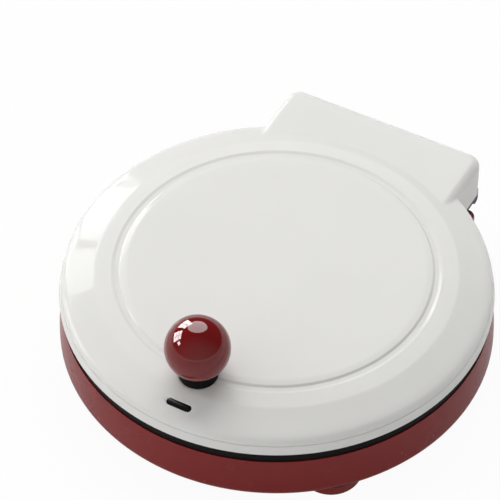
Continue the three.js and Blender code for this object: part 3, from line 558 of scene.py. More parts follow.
def coated(name, colour, fleck, roughness, spread):
    """Non-stick coat on cast aluminium: black with fine pale flecks."""
    material, tree, shader = start_material(name)
    flecks = ranged(tree, noise(tree, FLECK_SCALE, 2), 0, 1, FLECK_START, FLECK_END)
    feed(tree, shader, {
        "Base Color": blended(tree, flecks, colour, fleck),
        "Roughness": worn(tree, noise(tree, COAT_WEAR_SCALE, 4), roughness, spread),
        "Normal": bumped(tree, noise(tree, CAST_SCALE, 3), CAST_DEPTH),
    })
    return material


MATERIALS = {
    "white_lid": moulded("white_lid", (0.79, 0.787, 0.765), (0.775, 0.772, 0.75), 0.05, 0.015, 0.055,
                         wave=0.012),
    "red_base": moulded("red_base", (0.212, 0.013, 0.012), (0.202, 0.012, 0.011), 0.26, 0.02, 0.28,
                        wave=0.008, grain=0.002),
    "red_ball": moulded("red_ball", (0.178, 0.004, 0.005), (0.165, 0.003, 0.004), 0.015, 0.005, 0.5,
                        wave=0.003),
    "black_plastic": moulded("black_plastic", (0.004, 0.004, 0.004), (0.006, 0.006, 0.006), 0.46, 0.05, 0.07,
                             grain=0.02),
    "grey_plastic": moulded("grey_plastic", (0.046, 0.049, 0.053), (0.040, 0.043, 0.047), 0.45, 0.05, 0.3,
                            grain=0.02),
    "dark_window": moulded("dark_window", (0.006, 0.006, 0.007), (0.008, 0.008, 0.009), 0.16, 0.02, 0.2,
                           wave=0.004),
    "non_stick": coated("non_stick", (0.011, 0.011, 0.012), (0.07, 0.07, 0.075), 0.39, 0.07),
    "sheet_steel": metal("sheet_steel", (0.60, 0.61, 0.62), (0.52, 0.53, 0.55), 0.32, 0.08, (1, 22, 1)),
    "screw_steel": metal("screw_steel", (0.50, 0.51, 0.53), (0.42, 0.42, 0.42), 0.30, 0.08),
    "blacked_steel": metal("blacked_steel", (0.035, 0.035, 0.037), (0.025, 0.025, 0.028), 0.45, 0.06),
    "element_steel": metal("element_steel", (0.20, 0.17, 0.15), (0.11, 0.11, 0.13), 0.45, 0.10),
    "black_rubber": moulded("black_rubber", (0.014, 0.014, 0.014), (0.020, 0.020, 0.019), 0.72, 0.06, 0.3,
                            grain=0.03, grain_scale=1800),
    "white_ceramic": moulded("white_ceramic", (0.70, 0.67, 0.60), (0.62, 0.59, 0.52), 0.62, 0.08, 0.3,
                             grain=0.03, grain_scale=1500),
    "lamp_glass": moulded("lamp_glass", (0.62, 0.13, 0.03), (0.55, 0.10, 0.02), 0.18, 0.03, 0.5, wave=0.01),
}


def dress_cad_nodes():
    """The CAD nodes get their slot's material."""
    for part in frame["record"]["subparts"]:
        mesh = frame["nodes"][part["node"]].data
        material = MATERIALS[part["material_slot"]]
        if len(mesh.materials):
            mesh.materials[0] = material
        else:
            mesh.materials.append(material)


# Forms that the lid and the base share

def box_exit(bearing, half_width, back, corner):
    """How far out a ray leaves a rectangle with round corners, by its bearing from straight back."""
    side, behind = abs(math.sin(bearing)), math.cos(bearing)
    if behind < TINY:
        return 0
    distance = min(half_width / max(side, TINY), back / behind)
    centre_x, centre_y = half_width - corner, back - corner
    if distance * side > centre_x and distance * behind > centre_y:
        along = side * centre_x + behind * centre_y
        distance = along + math.sqrt(max(along ** 2 - centre_x ** 2 - centre_y ** 2 + corner ** 2, 0))
    return distance


def blended_reach(first, second, fillet):
    """The larger of two reaches, with a fillet where they meet."""
    near = max(fillet - abs(first - second), 0) / fillet
    return max(first, second) + near * near * fillet / 4


def bearings(fine_half, exact=()):
    """Bearings from straight back, close together across the hinge's side, with some exact ones."""
    fine_count = round(fine_half / FINE_BEARING)
    angles = [k * FINE_BEARING for k in range(-fine_count, fine_count + 1)]
    rest = 2 * math.pi - 2 * fine_count * FINE_BEARING
    coarse_count = round(rest / COARSE_BEARING)
    angles += [fine_count * FINE_BEARING + rest * k / coarse_count for k in range(1, coarse_count)]
    for angle in exact:
        angles = [a for a in angles if abs(a - angle) > FINE_BEARING / 3]
        angles.append(angle)
    return sorted(angles)


def on_bearing(radius, bearing, height):
    return radius * math.sin(bearing), radius * math.cos(bearing), height


def round_edge(size):
    """The steps of a round edge from its brim: how far below it, and how far inside its wall."""
    turns = [QUARTER * k / EDGE_STEPS for k in range(EDGE_STEPS + 1)]
    return [(size * (1 - math.cos(turn)), size * (1 - math.sin(turn))) for turn in turns]


# Lid

def shoulder_reach(height):
    """The lid's reach at a height from its lower edge to the top of its shoulder."""
    if height < SKIRT_TOP:
        return LID_RADIUS - SKIRT_DRAFT * (height - LID_EDGE) / SKIRT_HEIGHT
    if height < SKIRT_TOP + SHOULDER_EDGE * math.cos(SHOULDER_SLOPE):
        return EDGE_CENTRE + math.sqrt(SHOULDER_EDGE ** 2 - (height - SKIRT_TOP) ** 2)
    return SHOULDER_RADIUS + (SHOULDER_HEIGHT - height) / math.tan(SHOULDER_SLOPE)


def lid_top_profile():
    """The lid's outside from its axis to the top of its shoulder, as (radius, height).

    It is the upper part of a closed outline that runs on past the shoulder and well below it.
    """
    brim = DISC_RADIUS - DISC_EDGE_RUN
    far = LID_RADIUS + SHOULDER_RUN
    deep = DISC_HEIGHT - 40
    soft = 16
    corners = [
        (0, deep, 0),
        (0, DISC_HEIGHT, 0),
        (brim, DISC_HEIGHT, soft),
        (DISC_RADIUS, DISC_HEIGHT - DISC_EDGE_DROP, 0.8),
        (GROOVE_FLOOR_RADIUS - GROOVE_FLOOR_HALF, GROOVE_FLOOR_HEIGHT, 0.5),
        (GROOVE_FLOOR_RADIUS + GROOVE_FLOOR_HALF, GROOVE_FLOOR_HEIGHT, 0.9),
        (GROOVE_OUTER_RADIUS, GROOVE_OUTER_HEIGHT, 1.6),
        (SHOULDER_RADIUS, SHOULDER_HEIGHT, soft),
        (far, SHOULDER_HEIGHT - (far - SHOULDER_RADIUS) * math.tan(SHOULDER_SLOPE), 0),
        (far, deep, 0),
    ]
    points = [p for p in rounded(corners) if p[1] > DISC_HEIGHT - 10 and p[0] < LID_RADIUS]
    flat = [(brim * k / 6, DISC_HEIGHT) for k in range(1, 6)]
    return points[:1] + flat + points[1:]


def lid_levels(start):
    """Levels of the lid's side from a height on the shoulder down.

    Each is a height, how far the hood is inset or None, and the most that it may stand out of the shoulder.
    The flat top of the hood has close loops at both its edges, so that their shading stays narrow.
    """
    above = HOOD_TOP + CREASE_NEAR * math.tan(SHOULDER_SLOPE)
    levels = [(start + (above - start) * k / 2, None, 0) for k in range(1, 3)]
    levels += [(HOOD_TOP, None, 0)]
    levels += [(HOOD_TOP, HOOD_EDGE + CREASE_NEAR, CREASE_NEAR * k) for k in (1, 2)]
    levels += [(HOOD_TOP, HOOD_EDGE + CREASE_NEAR, LID_RADIUS)]
    levels += [(HOOD_TOP - drop, inset, LID_RADIUS) for drop, inset in round_edge(HOOD_EDGE)]
    below = math.asin((HOOD_TOP - HOOD_EDGE - SKIRT_TOP) / SHOULDER_EDGE)
    for k in range(1, EDGE_STEPS + 1):
        height = SKIRT_TOP + SHOULDER_EDGE * math.sin(below * (1 - k / EDGE_STEPS))
        levels.append((height, 0, LID_RADIUS))
    return levels


def hood_lower_loops(angles, above, corner_bearing):
    """Loops from the lid's lower edge down the hood's sides; elsewhere they stay where they are."""
    loops = []
    for k in range(1, 7):
        height = LID_EDGE + (HOOD_BOTTOM - LID_EDGE) * k / 6
        points = []
        for angle, (x, y, z) in zip(angles, above):
            outside = min(abs(angle), abs(angle - 2 * math.pi)) > corner_bearing + TINY
            points.append((x, y, z if outside else height))
        loops.append(points)
    return loops


def lid_skin():
    """The lid's outside: loops of points from its axis outwards and down."""
    corner_bearing = math.asin(HOOD_HALF_WIDTH / HOOD_BOWL_RADIUS)
    angles = bearings(HOOD_BEARING, (-corner_bearing, corner_bearing))
    profile = lid_top_profile()
    loops = [[on_bearing(radius, a, height) for a in angles] for radius, height in profile]

    def loop(height, inset, most=LID_RADIUS, reach_in=0.0):
        points = []
        for angle in angles:
            radius = shoulder_reach(height) - reach_in
            if inset is not None:
                out = box_exit(angle, HOOD_HALF_WIDTH - inset, HOOD_BACK - inset, HOOD_CORNER - inset)
                radius = min(blended_reach(radius, out, CREASE), radius + most)
            points.append(on_bearing(radius, angle, height))
        return points

    for height, inset, most in lid_levels(profile[-1][1]):
        loops.append(loop(height, inset, most))
    loops.append(loop(SKIRT_TOP, 0, reach_in=SKIRT_LINE_DEPTH))
    for k in range(5):
        loops.append(loop(SKIRT_TOP - SKIRT_LINE_HEIGHT - (SKIRT_HEIGHT - SKIRT_LINE_HEIGHT) * k / 4, 0))
    loops += hood_lower_loops(angles, loops[-1], corner_bearing)
    points, all_faces = skin_of(loops)
    faces = []
    for face in all_faces:
        unique = list(dict.fromkeys(tuple(round(c, 4) for c in points[k]) for k in face))
        if len(unique) > 2 and not upright_line(unique):
            faces.append(face)
    return points, faces


def upright_line(points):
    """Whether all points stand over each other."""
    x, y = points[0][:2]
    return all(abs(p[0] - x) + abs(p[1] - y) < 0.01 for p in points)


def pill_loop(length, width, height, steps=12):
    """A loop of points round a pill shape."""
    run = (length - width) / 2
    points = []
    for side in (1, -1):
        for k in range(steps + 1):
            angle = -side * QUARTER + math.pi * k / steps
            points.append((side * run + width / 2 * math.cos(angle), width / 2 * math.sin(angle), height))
    return points


def window_place():
    """Moves a shape from the origin to the window's place, square to the shoulder."""
    run = SHOULDER_RUN * WINDOW_PLACE
    place = Vector((0, -SHOULDER_RADIUS - run, SHOULDER_HEIGHT - run * math.tan(SHOULDER_SLOPE)))
    return Matrix.Translation(place) @ Matrix.Rotation(SHOULDER_SLOPE, 4, "X")


def pill(levels, margin=0.0):
    """A solid of pill loops in the window's place, from (how far past the window, height) levels."""
    loops = [pill_loop(WINDOW_LENGTH + margin + 2 * g, WINDOW_WIDTH + margin + 2 * g, h) for g, h in levels]
    return moved(lofted(loops), window_place())


def make_lid():
    """The moulded cover, with the seat of the knob's collar and the window's slot."""
    lid = solid("lid_cover", lid_skin(), closed=False)
    thicken(lid, LID_WALL, even=False)
    room = COLLAR_FOOT_RADIUS + 2 * SEAT_GAP
    combine(lid, bar(room + 0.4, KNOB_SEAT - 4, KNOB_SEAT + 0.1, 0, KNOB_Y, KNOB_STEPS), "UNION")
    combine(lid, bar(room, KNOB_SEAT, KNOB_SEAT + 8, 0, KNOB_Y, KNOB_STEPS), "DIFFERENCE")
    slot = pill([(0, -8), (0, -0.55), (0.35, -0.12), (0.9, 0.1), (0.9, 6)], 2 * SEAT_GAP)
    combine(lid, slot, "DIFFERENCE")
    dress(lid, "lid", "white_lid", "lid_shell")


def make_lens():
    """The window's dark lens, slightly domed, with a brim inside the lid."""
    shape = pill([(0, -6.0), (0, -0.75), (-0.25, -0.45), (-0.8, -0.3), (-1.6, -0.24), (-2.3, -0.22)])
    lens = solid("window_lens", shape)
    combine(lens, pill([(0, -6.2), (0, -5.2)], 3), "UNION")
    dress(lens, "lid", "dark_window", "indicator_window")


def make_knob():
    """The drilled ball, and the collar with a cup for it."""
    drilled = math.asin(KNOB_BORE / BALL_RADIUS)
    depth = BALL_HEIGHT - BALL_RADIUS + KNOB_BORE_DEPTH
    profile = [(0, depth), (KNOB_BORE, depth)]
    profile += arc(0, BALL_HEIGHT, BALL_RADIUS, drilled - QUARTER, QUARTER, SMALL_STEPS)[:-1]
    profile.append((0, BALL_HEIGHT + BALL_RADIUS))
    ball = solid("knob_ball_turned", turned(profile, KNOB_STEPS, 0, KNOB_Y))
    dress(ball, "lid", "red_ball", "knob_ball")

    cup = BALL_RADIUS + SEAT_GAP
    cup_top = BALL_HEIGHT - math.sqrt(cup ** 2 - COLLAR_TOP_RADIUS ** 2)
    foot = KNOB_SEAT + SEAT_GAP
    outline = rounded([
        (KNOB_BORE, foot, 0), (COLLAR_FOOT_RADIUS, foot, 0.8), (COLLAR_TOP_RADIUS, cup_top, 0.2),
        (KNOB_BORE, BALL_HEIGHT - math.sqrt(cup ** 2 - KNOB_BORE ** 2), 0),
    ])
    rim, hole = -math.acos(COLLAR_TOP_RADIUS / cup), -math.acos(KNOB_BORE / cup)
    collar_profile = outline[:-1] + arc(0, BALL_HEIGHT, cup, rim, hole, 10)[1:]
    collar = solid("knob_collar_turned", turned(collar_profile, KNOB_STEPS, 0, KNOB_Y))
    dress(collar, "lid", "black_plastic", "knob_collar")


# Base

def bowl_reach(height, grow=0.0):
    """The bowl's reach at a height from its floor to its rim."""
    heel = BASE_FLOOR + HEEL_RADIUS
    if height < heel:
        drop = min(heel - height, HEEL_RADIUS + grow)
        return BELLY_RADIUS - HEEL_RADIUS + math.sqrt(max((HEEL_RADIUS + grow) ** 2 - drop ** 2, 0))
    share = (height - heel) / (BASE_RIM_HEIGHT - heel)
    return BELLY_RADIUS - (BELLY_RADIUS - RIM_RADIUS) * share ** 2 + grow


def base_loops(grow=0.0):
    """Loops of points over the base's outside, from its floor up."""
    angles = bearings(HOUSING_BEARING)
    floor = BASE_FLOOR - grow
    upper = HOUSING_TOP + grow

    def loop(height, inset):
        points = []
        for angle in angles:
            radius = bowl_reach(height, grow)
            if inset is not None:
                corner = max(HOUSING_CORNER + grow - inset, SEAT_GAP)
                out = box_exit(angle, HOUSING_HALF_WIDTH + grow - inset, HOUSING_BACK + grow - inset, corner)
                radius = blended_reach(radius, out, CREASE)
            points.append(on_bearing(radius, angle, height))
        return points

    loops = [[on_bearing(radius, a, floor) for a in angles] for radius in FLOOR_LOOPS]
    edge = HOUSING_EDGE
    loops += [loop(floor + rise, inset) for rise, inset in round_edge(edge)]
    heel = BASE_FLOOR + HEEL_RADIUS
    for k in range(1, 7):
        loops.append(loop(floor + edge + (heel - floor - edge) * k / 6, 0))
    for k in range(1, 4):
        loops.append(loop(heel + (upper - edge - heel) * k / 3, 0))
    loops += [loop(upper - drop, inset) for inset, drop in round_edge(edge)[1:]]
    loops.append(loop(upper, None))
    for k in range(1, EDGE_STEPS + 1):
        loops.append(loop(upper + (BASE_RIM_HEIGHT - upper) * k / EDGE_STEPS, None))
    return loops


def lug_shape(side):
    wall = HOUSING_BACK - BASE_WALL / 2
    outline = [(wall, HOUSING_TOP - HOUSING_EDGE)]
    outline += arc(HINGE_Y, HINGE_Z, KNUCKLE_RADIUS, math.radians(120), math.radians(-45), 16)
    outline.append((wall, BASE_FLOOR + LUG_FOOT_RISE))
    low, high = (LUG_INNER_X, LUG_OUTER_X) if side > 0 else (-LUG_OUTER_X, -LUG_INNER_X)
    return moved(prism(outline, low, high), SIDEWAYS)


def hinge_bar(radius, low, high):
    """A round bar along the hinge's axis."""
    outline = arc(HINGE_Y, HINGE_Z, radius, 0, 2 * math.pi, SMALL_STEPS)[:-1]
    return moved(prism(outline, low, high), SIDEWAYS)


def vent_slots():
    """Slots that point outwards, in a ring through the base's floor."""
    slots = []
    for k in range(VENT_COUNT):
        angle = 2 * math.pi * k / VENT_COUNT
        slot = lofted([pill_loop(VENT_LENGTH, VENT_WIDTH, h, 6) for h in (-3, 3)])
        x, y = VENT_RING_RADIUS * math.cos(angle), VENT_RING_RADIUS * math.sin(angle)
        place = Matrix.Translation((x, y, BASE_FLOOR + BASE_WALL / 2))
        slots.append(moved(slot, place @ Matrix.Rotation(angle, 4, "Z")))
    return merged(*slots)


def make_base():
    """The bowl with its rear housing, screw bosses and lugs, and with its holes."""
    base = solid("base_bowl", skin_of(base_loops()), closed=False)
    thicken(base, BASE_WALL)
    boss_top = bottom("lower_reflector") - SEAT_GAP
    seat = bottom("base_screw_1") + SCREW_HEAD_HEIGHT + SEAT_GAP
    screws = four("base_screw")
    bosses = bars(screws, BOSS_RADIUS, BASE_FLOOR + BASE_WALL / 2, boss_top)
    combine(base, merged(bosses, lug_shape(1), lug_shape(-1)), "UNION")
    low, high = LUG_INNER_X - CUT_OVERRUN, LUG_OUTER_X + CUT_OVERRUN
    hole = moved(bar(GLAND_RADIUS + SEAT_GAP, HOUSING_BACK - 2 * BASE_WALL, HOUSING_BACK + 2), ALONG_Y)
    combine(base, merged(
        bars(screws, SCREW_RECESS, BASE_FLOOR - 2, seat),
        vent_slots(),
        hinge_bar(PIN_BORE, low, high),
        hinge_bar(PIN_BORE, -high, -low),
        moved(hole, Matrix.Translation((0, 0, middle("cord_gland").z))),
    ), "DIFFERENCE")
    combine(base, bars(screws, SCREW_HOLE, seat - 2, boss_top + 2, HOLE_STEPS), "DIFFERENCE")
    dress(base, "base", "red_base", "base_shell")


def make_feet():
    """Round feet cut to the bowl's underside, with rubber pads sunk in them."""
    loops = base_loops(SEAT_GAP)
    block = skin_of(loops + [[(0, 0, BASE_RIM_HEIGHT)] * len(loops[0])])
    room = PAD_RADIUS + SEAT_GAP
    profile = rounded([
        (0, PAD_SEAT, 0), (room, PAD_SEAT, 0), (room, FOOT_LIFT, 0.4), (FOOT_RADIUS, FOOT_LIFT, 3.4),
        (FOOT_TOP_RADIUS, FOOT_TOP, 0), (0, FOOT_TOP, 0),
    ])
    for k, place in enumerate(four("foot_pad"), 1):
        foot = solid(f"foot_turned_{k}", turned(profile, FOOT_STEPS, place.x, place.y))
        combine(foot, block, "DIFFERENCE")
        dress(foot, "base", "red_base", f"foot_{k}")
        pad_top = top(f"foot_pad_{k}")
        outline = rounded([(0, 0, 0), (PAD_RADIUS, 0, 0.8), (PAD_RADIUS, pad_top, 0.3), (0, pad_top, 0)])
        pad = solid(f"foot_pad_turned_{k}", turned(outline, PAD_STEPS, place.x, place.y))
        dress(pad, "base", "black_rubber", f"foot_pad_{k}")


def make_base_ring():
    low, high = bottom("base_ring"), top("base_ring")
    outer = reach("base_ring")
    wall = outer - BAND_WALL
    plate = reach("lower_plate") + SEAT_GAP
    seat = top("lower_plate") - PLATE_FLANGE - SEAT_GAP
    band_low = BASE_RIM_HEIGHT + SEAT_GAP
    profile = rounded([
        (BAND_INNER_RADIUS, low, 0.4), (wall, low, 0.4), (wall, band_low, 0.3), (outer, band_low, 0.4),
        (outer, high, 1.0), (plate, high, 0.4), (plate, seat, 0.2), (BAND_INNER_RADIUS, seat, 0.4),
    ])
    ring = solid("base_band", turned(profile))
    dress(ring, "base", "black_plastic", "base_ring")


def make_lower_plate():
    plate_top = top("lower_plate")
    outer = reach("lower_plate")
    pan = outer - LOWER_PAN_INSET
    pan_top = plate_top - LOWER_PAN_DEPTH
    pan_bottom = pan_top - PLATE_WALL
    flange = plate_top - PLATE_FLANGE
    profile = rounded([
        (0, pan_bottom, 0), (pan + 1.5, pan_bottom, 3), (pan + 7.2, flange, 1.5), (outer, flange, 0.3),
        (outer, plate_top, 0.6), (pan + 4.7, plate_top, 2.5), (pan, pan_top, 3.5), (0, pan_top, 0),
    ])
    plate = solid("lower_plate_cast", turned(profile))
    posts = bars(four("base_screw"), POST_RADIUS, bottom("lower_plate"), pan_bottom + 1)
    combine(plate, posts, "UNION")
    dress(plate, "base", "non_stick", "lower_plate")


def make_lid_ring():
    low = LID_EDGE
    outer = reach("lid_inner_ring")
    up = top("lid_inner_ring")
    ring_top = low + LID_RING_THICKNESS
    upstand = outer - UPSTAND_DRAFT
    profile = rounded([
        (LID_RING_INNER_RADIUS, low, 0.7), (outer, low, 0.5), (upstand, up, 0.3),
        (upstand - UPSTAND_WALL, up, 0.3), (upstand - UPSTAND_WALL, ring_top, 0.3),
        (LID_RING_INNER_RADIUS, ring_top, 0.4),
    ])
    ring = solid("lid_ring_turned", turned(profile))
    seat = bottom("lid_screw_1") + SCREW_HEAD_HEIGHT + SEAT_GAP
    screws = four("lid_screw")
    combine(ring, bars(screws, SCREW_RECESS, low - 1, seat), "DIFFERENCE")
    combine(ring, bars(screws, SCREW_HOLE, seat - 1, ring_top + 1, HOLE_STEPS), "DIFFERENCE")
    dress(ring, "lid", "black_plastic", "lid_inner_ring")


def make_upper_plate():
    seat = bottom("upper_plate")
    outer = reach("upper_plate")
    pan = outer - UPPER_PAN_INSET
    ceiling = seat + UPPER_PAN_DEPTH
    back = ceiling + PLATE_WALL
    flange = seat + PLATE_FLANGE
    boss_top = top("upper_plate")
    profile = rounded([
        (0, ceiling, 0), (pan, ceiling, 3), (pan + 3.7, seat, 1.5), (outer, seat, 0.5),
        (outer, flange, 0.5), (pan + 5.2, flange, 1), (pan + 1.5, back, 1),
        (UPPER_BOSS_RADIUS, back, 0.5), (UPPER_BOSS_RADIUS, boss_top, 0.4), (0, boss_top, 0),
    ])
    plate = solid("upper_plate_cast", turned(profile))
    dress(plate, "lid", "non_stick", "upper_plate")


# Hinge and fasteners

def make_hinge_plate():
    """The plate that closes the hood from below, with its knuckles and screw bosses."""
    half = HOOD_HALF_WIDTH
    back = HOOD_BACK - PLATE_INSET
    corner = HOOD_CORNER - PLATE_INSET
    bowl = HOOD_BOWL_RADIUS + PLATE_INSET
    corner_bearing = math.asin(half / bowl)
    outline = arc(half - corner, back - corner, corner, 0, QUARTER, 10)
    outline += arc(corner - half, back - corner, corner, QUARTER, 2 * QUARTER, 10)
    for k in range(33):
        angle = -corner_bearing + 2 * corner_bearing * k / 32
        outline.append((bowl * math.sin(angle), bowl * math.cos(angle)))
    plate = solid("hinge_plate_moulded", prism(outline, PLATE_BOTTOM, PLATE_TOP))
    soften(plate, 0.3, 2)
    knuckles, bores, rooms = [], [], []
    middle_z = PLATE_BOTTOM + PLATE_THICKNESS / 2
    for side in (1, -1):
        low, high = sorted((side * KNUCKLE_INNER_X, side * KNUCKLE_OUTER_X))
        side_view = [(HINGE_Y + KNUCKLE_RADIUS, middle_z), (HINGE_Y - KNUCKLE_RADIUS, middle_z)]
        side_view += arc(HINGE_Y, HINGE_Z, KNUCKLE_RADIUS, math.pi, 2 * math.pi, 24)
        knuckle = solid("knuckle", moved(prism(side_view, low, high), SIDEWAYS))
        soften(knuckle, 0.5, 3)
        knuckles.append(shape_of(knuckle))
        bores.append(hinge_bar(PIN_BORE, low - CUT_OVERRUN, high + CUT_OVERRUN))
        floor = KNUCKLE_OUTER_X - PIN_HEAD_HEIGHT - SEAT_GAP
        sunk = sorted((side * floor, side * (KNUCKLE_OUTER_X + CUT_OVERRUN)))
        rooms.append(hinge_bar(PIN_HEAD_RADIUS + SEAT_GAP, *sunk))
    screws = four("hinge_plate_screw")
    seat = bottom("hinge_plate_screw_1") + SCREW_HEAD_HEIGHT + SEAT_GAP
    combine(plate, merged(*knuckles, bars(screws, SCREW_RECESS + 1, seat, middle_z)), "UNION")
    combine(plate, merged(*rooms), "DIFFERENCE")
    holes = bars(screws, SCREW_HOLE, seat - 1, PLATE_TOP + 1, HOLE_STEPS)
    combine(plate, merged(*bores, holes), "DIFFERENCE")
    dress(plate, "lid", "grey_plastic", "hinge_plate")


def shape_of(piece):
    """A piece's mesh as a shape again; the piece is removed."""
    points = [(v.co.x / MM, (v.co.y - AXIS_Y) / MM, v.co.z / MM) for v in piece.data.vertices]
    faces = [list(p.vertices) for p in piece.data.polygons]
    bpy.data.objects.remove(piece)
    return points, faces


def screw_head():
    """A pan head with a cross recess, its seat at the origin and its face below."""
    low, seat = -SCREW_HEAD_HEIGHT, -0.05
    crown, edge = 6.2, 0.7
    profile = [(0, low)] + arc(0, low + crown, crown, -QUARTER, -QUARTER + 0.46, 5)[1:]
    profile += arc(SCREW_HEAD_RADIUS - edge, low + 1.05, edge, -QUARTER * 0.55, 0, 4)
    profile += [(SCREW_HEAD_RADIUS, seat), (SCREW_RADIUS, seat), (0, seat)]
    head = solid("screw_head", turned(profile, HEAD_STEPS))
    arm = [(1.75, 0.42), (-1.75, 0.42), (-1.75, -0.42), (1.75, -0.42)]
    tip = [(0.9, 0.25), (-0.9, 0.25), (-0.9, -0.25), (0.9, -0.25)]
    wing = lofted([[(x, y, low - 0.4) for x, y in arm], [(x, y, low + 1.1) for x, y in tip]])
    combine(head, wing, "DIFFERENCE")
    combine(head, moved(wing, Matrix.Rotation(QUARTER, 4, "Z")), "DIFFERENCE")
    return shape_of(head)


def make_screws():
    """All screws: the same head, and a shank as long as the CAD node's."""
    head = screw_head()
    bodies = frame["record"]["behaviour"]["bodies"]
    names = [n for n in frame["nodes"] if "screw" in n]
    for count, name in enumerate(sorted(names)):
        low, high = box(name)
        length = high.z - low.z - SCREW_HEAD_HEIGHT
        shank = turned([(0, -0.2), (SCREW_RADIUS, -0.2), (SCREW_RADIUS, length - 1.2),
                        (SCREW_RADIUS * 0.5, length - 0.1), (0, length)], HOLE_STEPS)
        turn = Matrix.Rotation(0.7 * count, 4, "Z")
        centre = middle(name)
        if name == "reflector_screw":
            place = Matrix.Translation((centre.x, centre.y, high.z - SCREW_HEAD_HEIGHT))
            place = place @ Matrix.Rotation(math.pi, 4, "X")
        else:
            place = Matrix.Translation((centre.x, centre.y, low.z + SCREW_HEAD_HEIGHT))
        screw = solid(name + "_pan_head", moved(merged(head, shank), place @ turn))
        body = "base" if name in bodies["base"] else "lid"
        dress(screw, body, "screw_steel", name)


def make_hinge_pins():
    for name, side in (("hinge_pin_left", -1), ("hinge_pin_right", 1)):
        low, high = box(name)
        inner, outer = sorted((abs(low.x), abs(high.x)))
        seat = outer - PIN_HEAD_HEIGHT
        profile = rounded([
            (0, inner, 0), (PIN_RADIUS, inner, 0.6), (PIN_RADIUS, seat, 0.1),
            (PIN_HEAD_RADIUS, seat, 0.2), (PIN_HEAD_RADIUS, outer, 0.7), (0, outer, 0),
        ])
        upright = turned(profile, SMALL_STEPS)
        along = Matrix.Rotation(side * QUARTER, 4, "Y")
        place = Matrix.Translation((0, HINGE_Y, HINGE_Z))
        pin = solid(name + "_turned", moved(upright, place @ along))
        dress(pin, "base", "blacked_steel", name)


def make_gland():
    """The cord's bushing: snapped into the housing's back wall, with a ribbed nose that narrows."""
    low, high = box("cord_gland")
    inside = HOUSING_BACK - BASE_WALL - SEAT_GAP
    outside = HOUSING_BACK + SEAT_GAP
    catch, nose = GLAND_RADIUS + 0.7, outside + 1.8
    corners = [
        (GLAND_BORE, low.y, 0.2), (catch, low.y, 0.3), (catch, inside, 0.2), (GLAND_RADIUS, inside, 0),
        (GLAND_RADIUS, outside, 0), (GLAND_FLANGE, outside, 0.2), (GLAND_FLANGE, nose, 0.7),
    ]
    ribs = 3
    pitch = (high.y - nose) / ribs
    for k in range(ribs):
        at = nose + pitch * k
        neck = GLAND_RADIUS - 0.25 - 0.35 * k
        corners += [(neck - 0.45, at + 0.05, 0.15), (neck - 0.45, at + pitch * 0.35, 0.15),
                    (neck, at + pitch * 0.45, 0.25), (neck, at + pitch * 0.95, 0.25)]
    corners += [(neck - 0.4, high.y, 0.3), (GLAND_BORE, high.y, 0.3)]
    shape = moved(turned(rounded(corners, 3), SMALL_STEPS), ALONG_Y)
    height = Matrix.Translation((0, 0, middle("cord_gland").z))
    gland = solid("cord_gland_ribbed", moved(shape, height))
    dress(gland, "base", "black_rubber", "cord_gland")


# Studio: camera, lamps, world and floor; the lamps' angles are in degrees

CAMERA_DISTANCE = 2.335
FOCAL_PIXELS = 2989
IMAGE_SIZE = 500
SENSOR = 36
ELEVATION = math.radians(47.43)
AZIMUTH = math.radians(28.4)
PRINCIPAL_X, PRINCIPAL_Y = 276.8, 286.8
LOOK_AT = Vector((0, AXIS_Y, LID_EDGE * MM))
LAMPS_AROUND = Vector((0, AXIS_Y + KNOB_Y * MM / 2, BALL_HEIGHT * MM))
LAMP_DISTANCE = 7.0
# The lamps for reflections stand a little nearer, so that those for light don't hide them
LAMP_STEP = 0.05
TOP_HEIGHT, TOP_SPAN = 53, 52
TOP_LIGHT, TOP_SHINE = 2.68, 5.7
WINDOW_LIGHTS, WINDOW_SHINE = (1.35, 1.9, 1.9), 17.5
LOW_LIGHT = 5.0
PANE_SHARE = 0.9
ROOM_HIGH, ROOM_FALL, ROOM_FILL = 0.36, (0.0, 0.22), 0.1
SHINE_HIGH, SHINE_FALL, SHINE_FILL = 0.12, (0.02, 0.10), 0.45
FLOOR_SIZE = 30
FLOOR_COLOUR = (0.88, 0.88, 0.88, 1)
FLOOR_GLOW = 0.95
FLOOR_SHINE = 0.05


def make_camera():
    data = bpy.data.cameras.new("camera")
    data.sensor_width = SENSOR
    data.lens = FOCAL_PIXELS * SENSOR / IMAGE_SIZE
    data.shift_x = (IMAGE_SIZE / 2 - PRINCIPAL_X) / IMAGE_SIZE
    data.shift_y = (PRINCIPAL_Y - IMAGE_SIZE / 2) / IMAGE_SIZE
    camera = bpy.data.objects.new("camera", data)
    level = math.cos(ELEVATION)
    away = Vector((level * math.sin(AZIMUTH), -level * math.cos(AZIMUTH), math.sin(ELEVATION)))
    camera.location = LOOK_AT + away * CAMERA_DISTANCE
    camera.rotation_euler = (QUARTER - ELEVATION, 0, AZIMUTH)
    bpy.context.scene.collection.objects.link(camera)
    bpy.context.scene.camera = camera


def from_camera_side(right, away, up):
    """A direction in the world from one given to the camera's right, away from it, and up."""
    across = Vector((math.cos(AZIMUTH), math.sin(AZIMUTH), 0))
    depth = Vector((-math.sin(AZIMUTH), math.cos(AZIMUTH), 0))
    return (across * right + depth * away + Vector((0, 0, up))).normalized()


def lamp(name, direction, width, height, radiance, reflected, shape="RECTANGLE"):
    """An area lamp of an even radiance, turned to the object: either its light or its reflection."""
    data = bpy.data.lights.new(name, "AREA")
    data.shape = shape
    data.size = width
    data.size_y = height
    area = width * height * (math.pi / 4 if shape == "DISK" else 1)
    data.energy = radiance * math.pi * area
    light = bpy.data.objects.new(name, data)
    distance = LAMP_DISTANCE - LAMP_STEP if reflected else LAMP_DISTANCE
    light.location = LAMPS_AROUND + direction * distance
    light.rotation_euler = direction.to_track_quat("Z", "Y").to_euler()
    light.visible_camera = False
    light.visible_glossy = reflected
    light.visible_diffuse = not reflected
    bpy.context.scene.collection.objects.link(light)
    return light


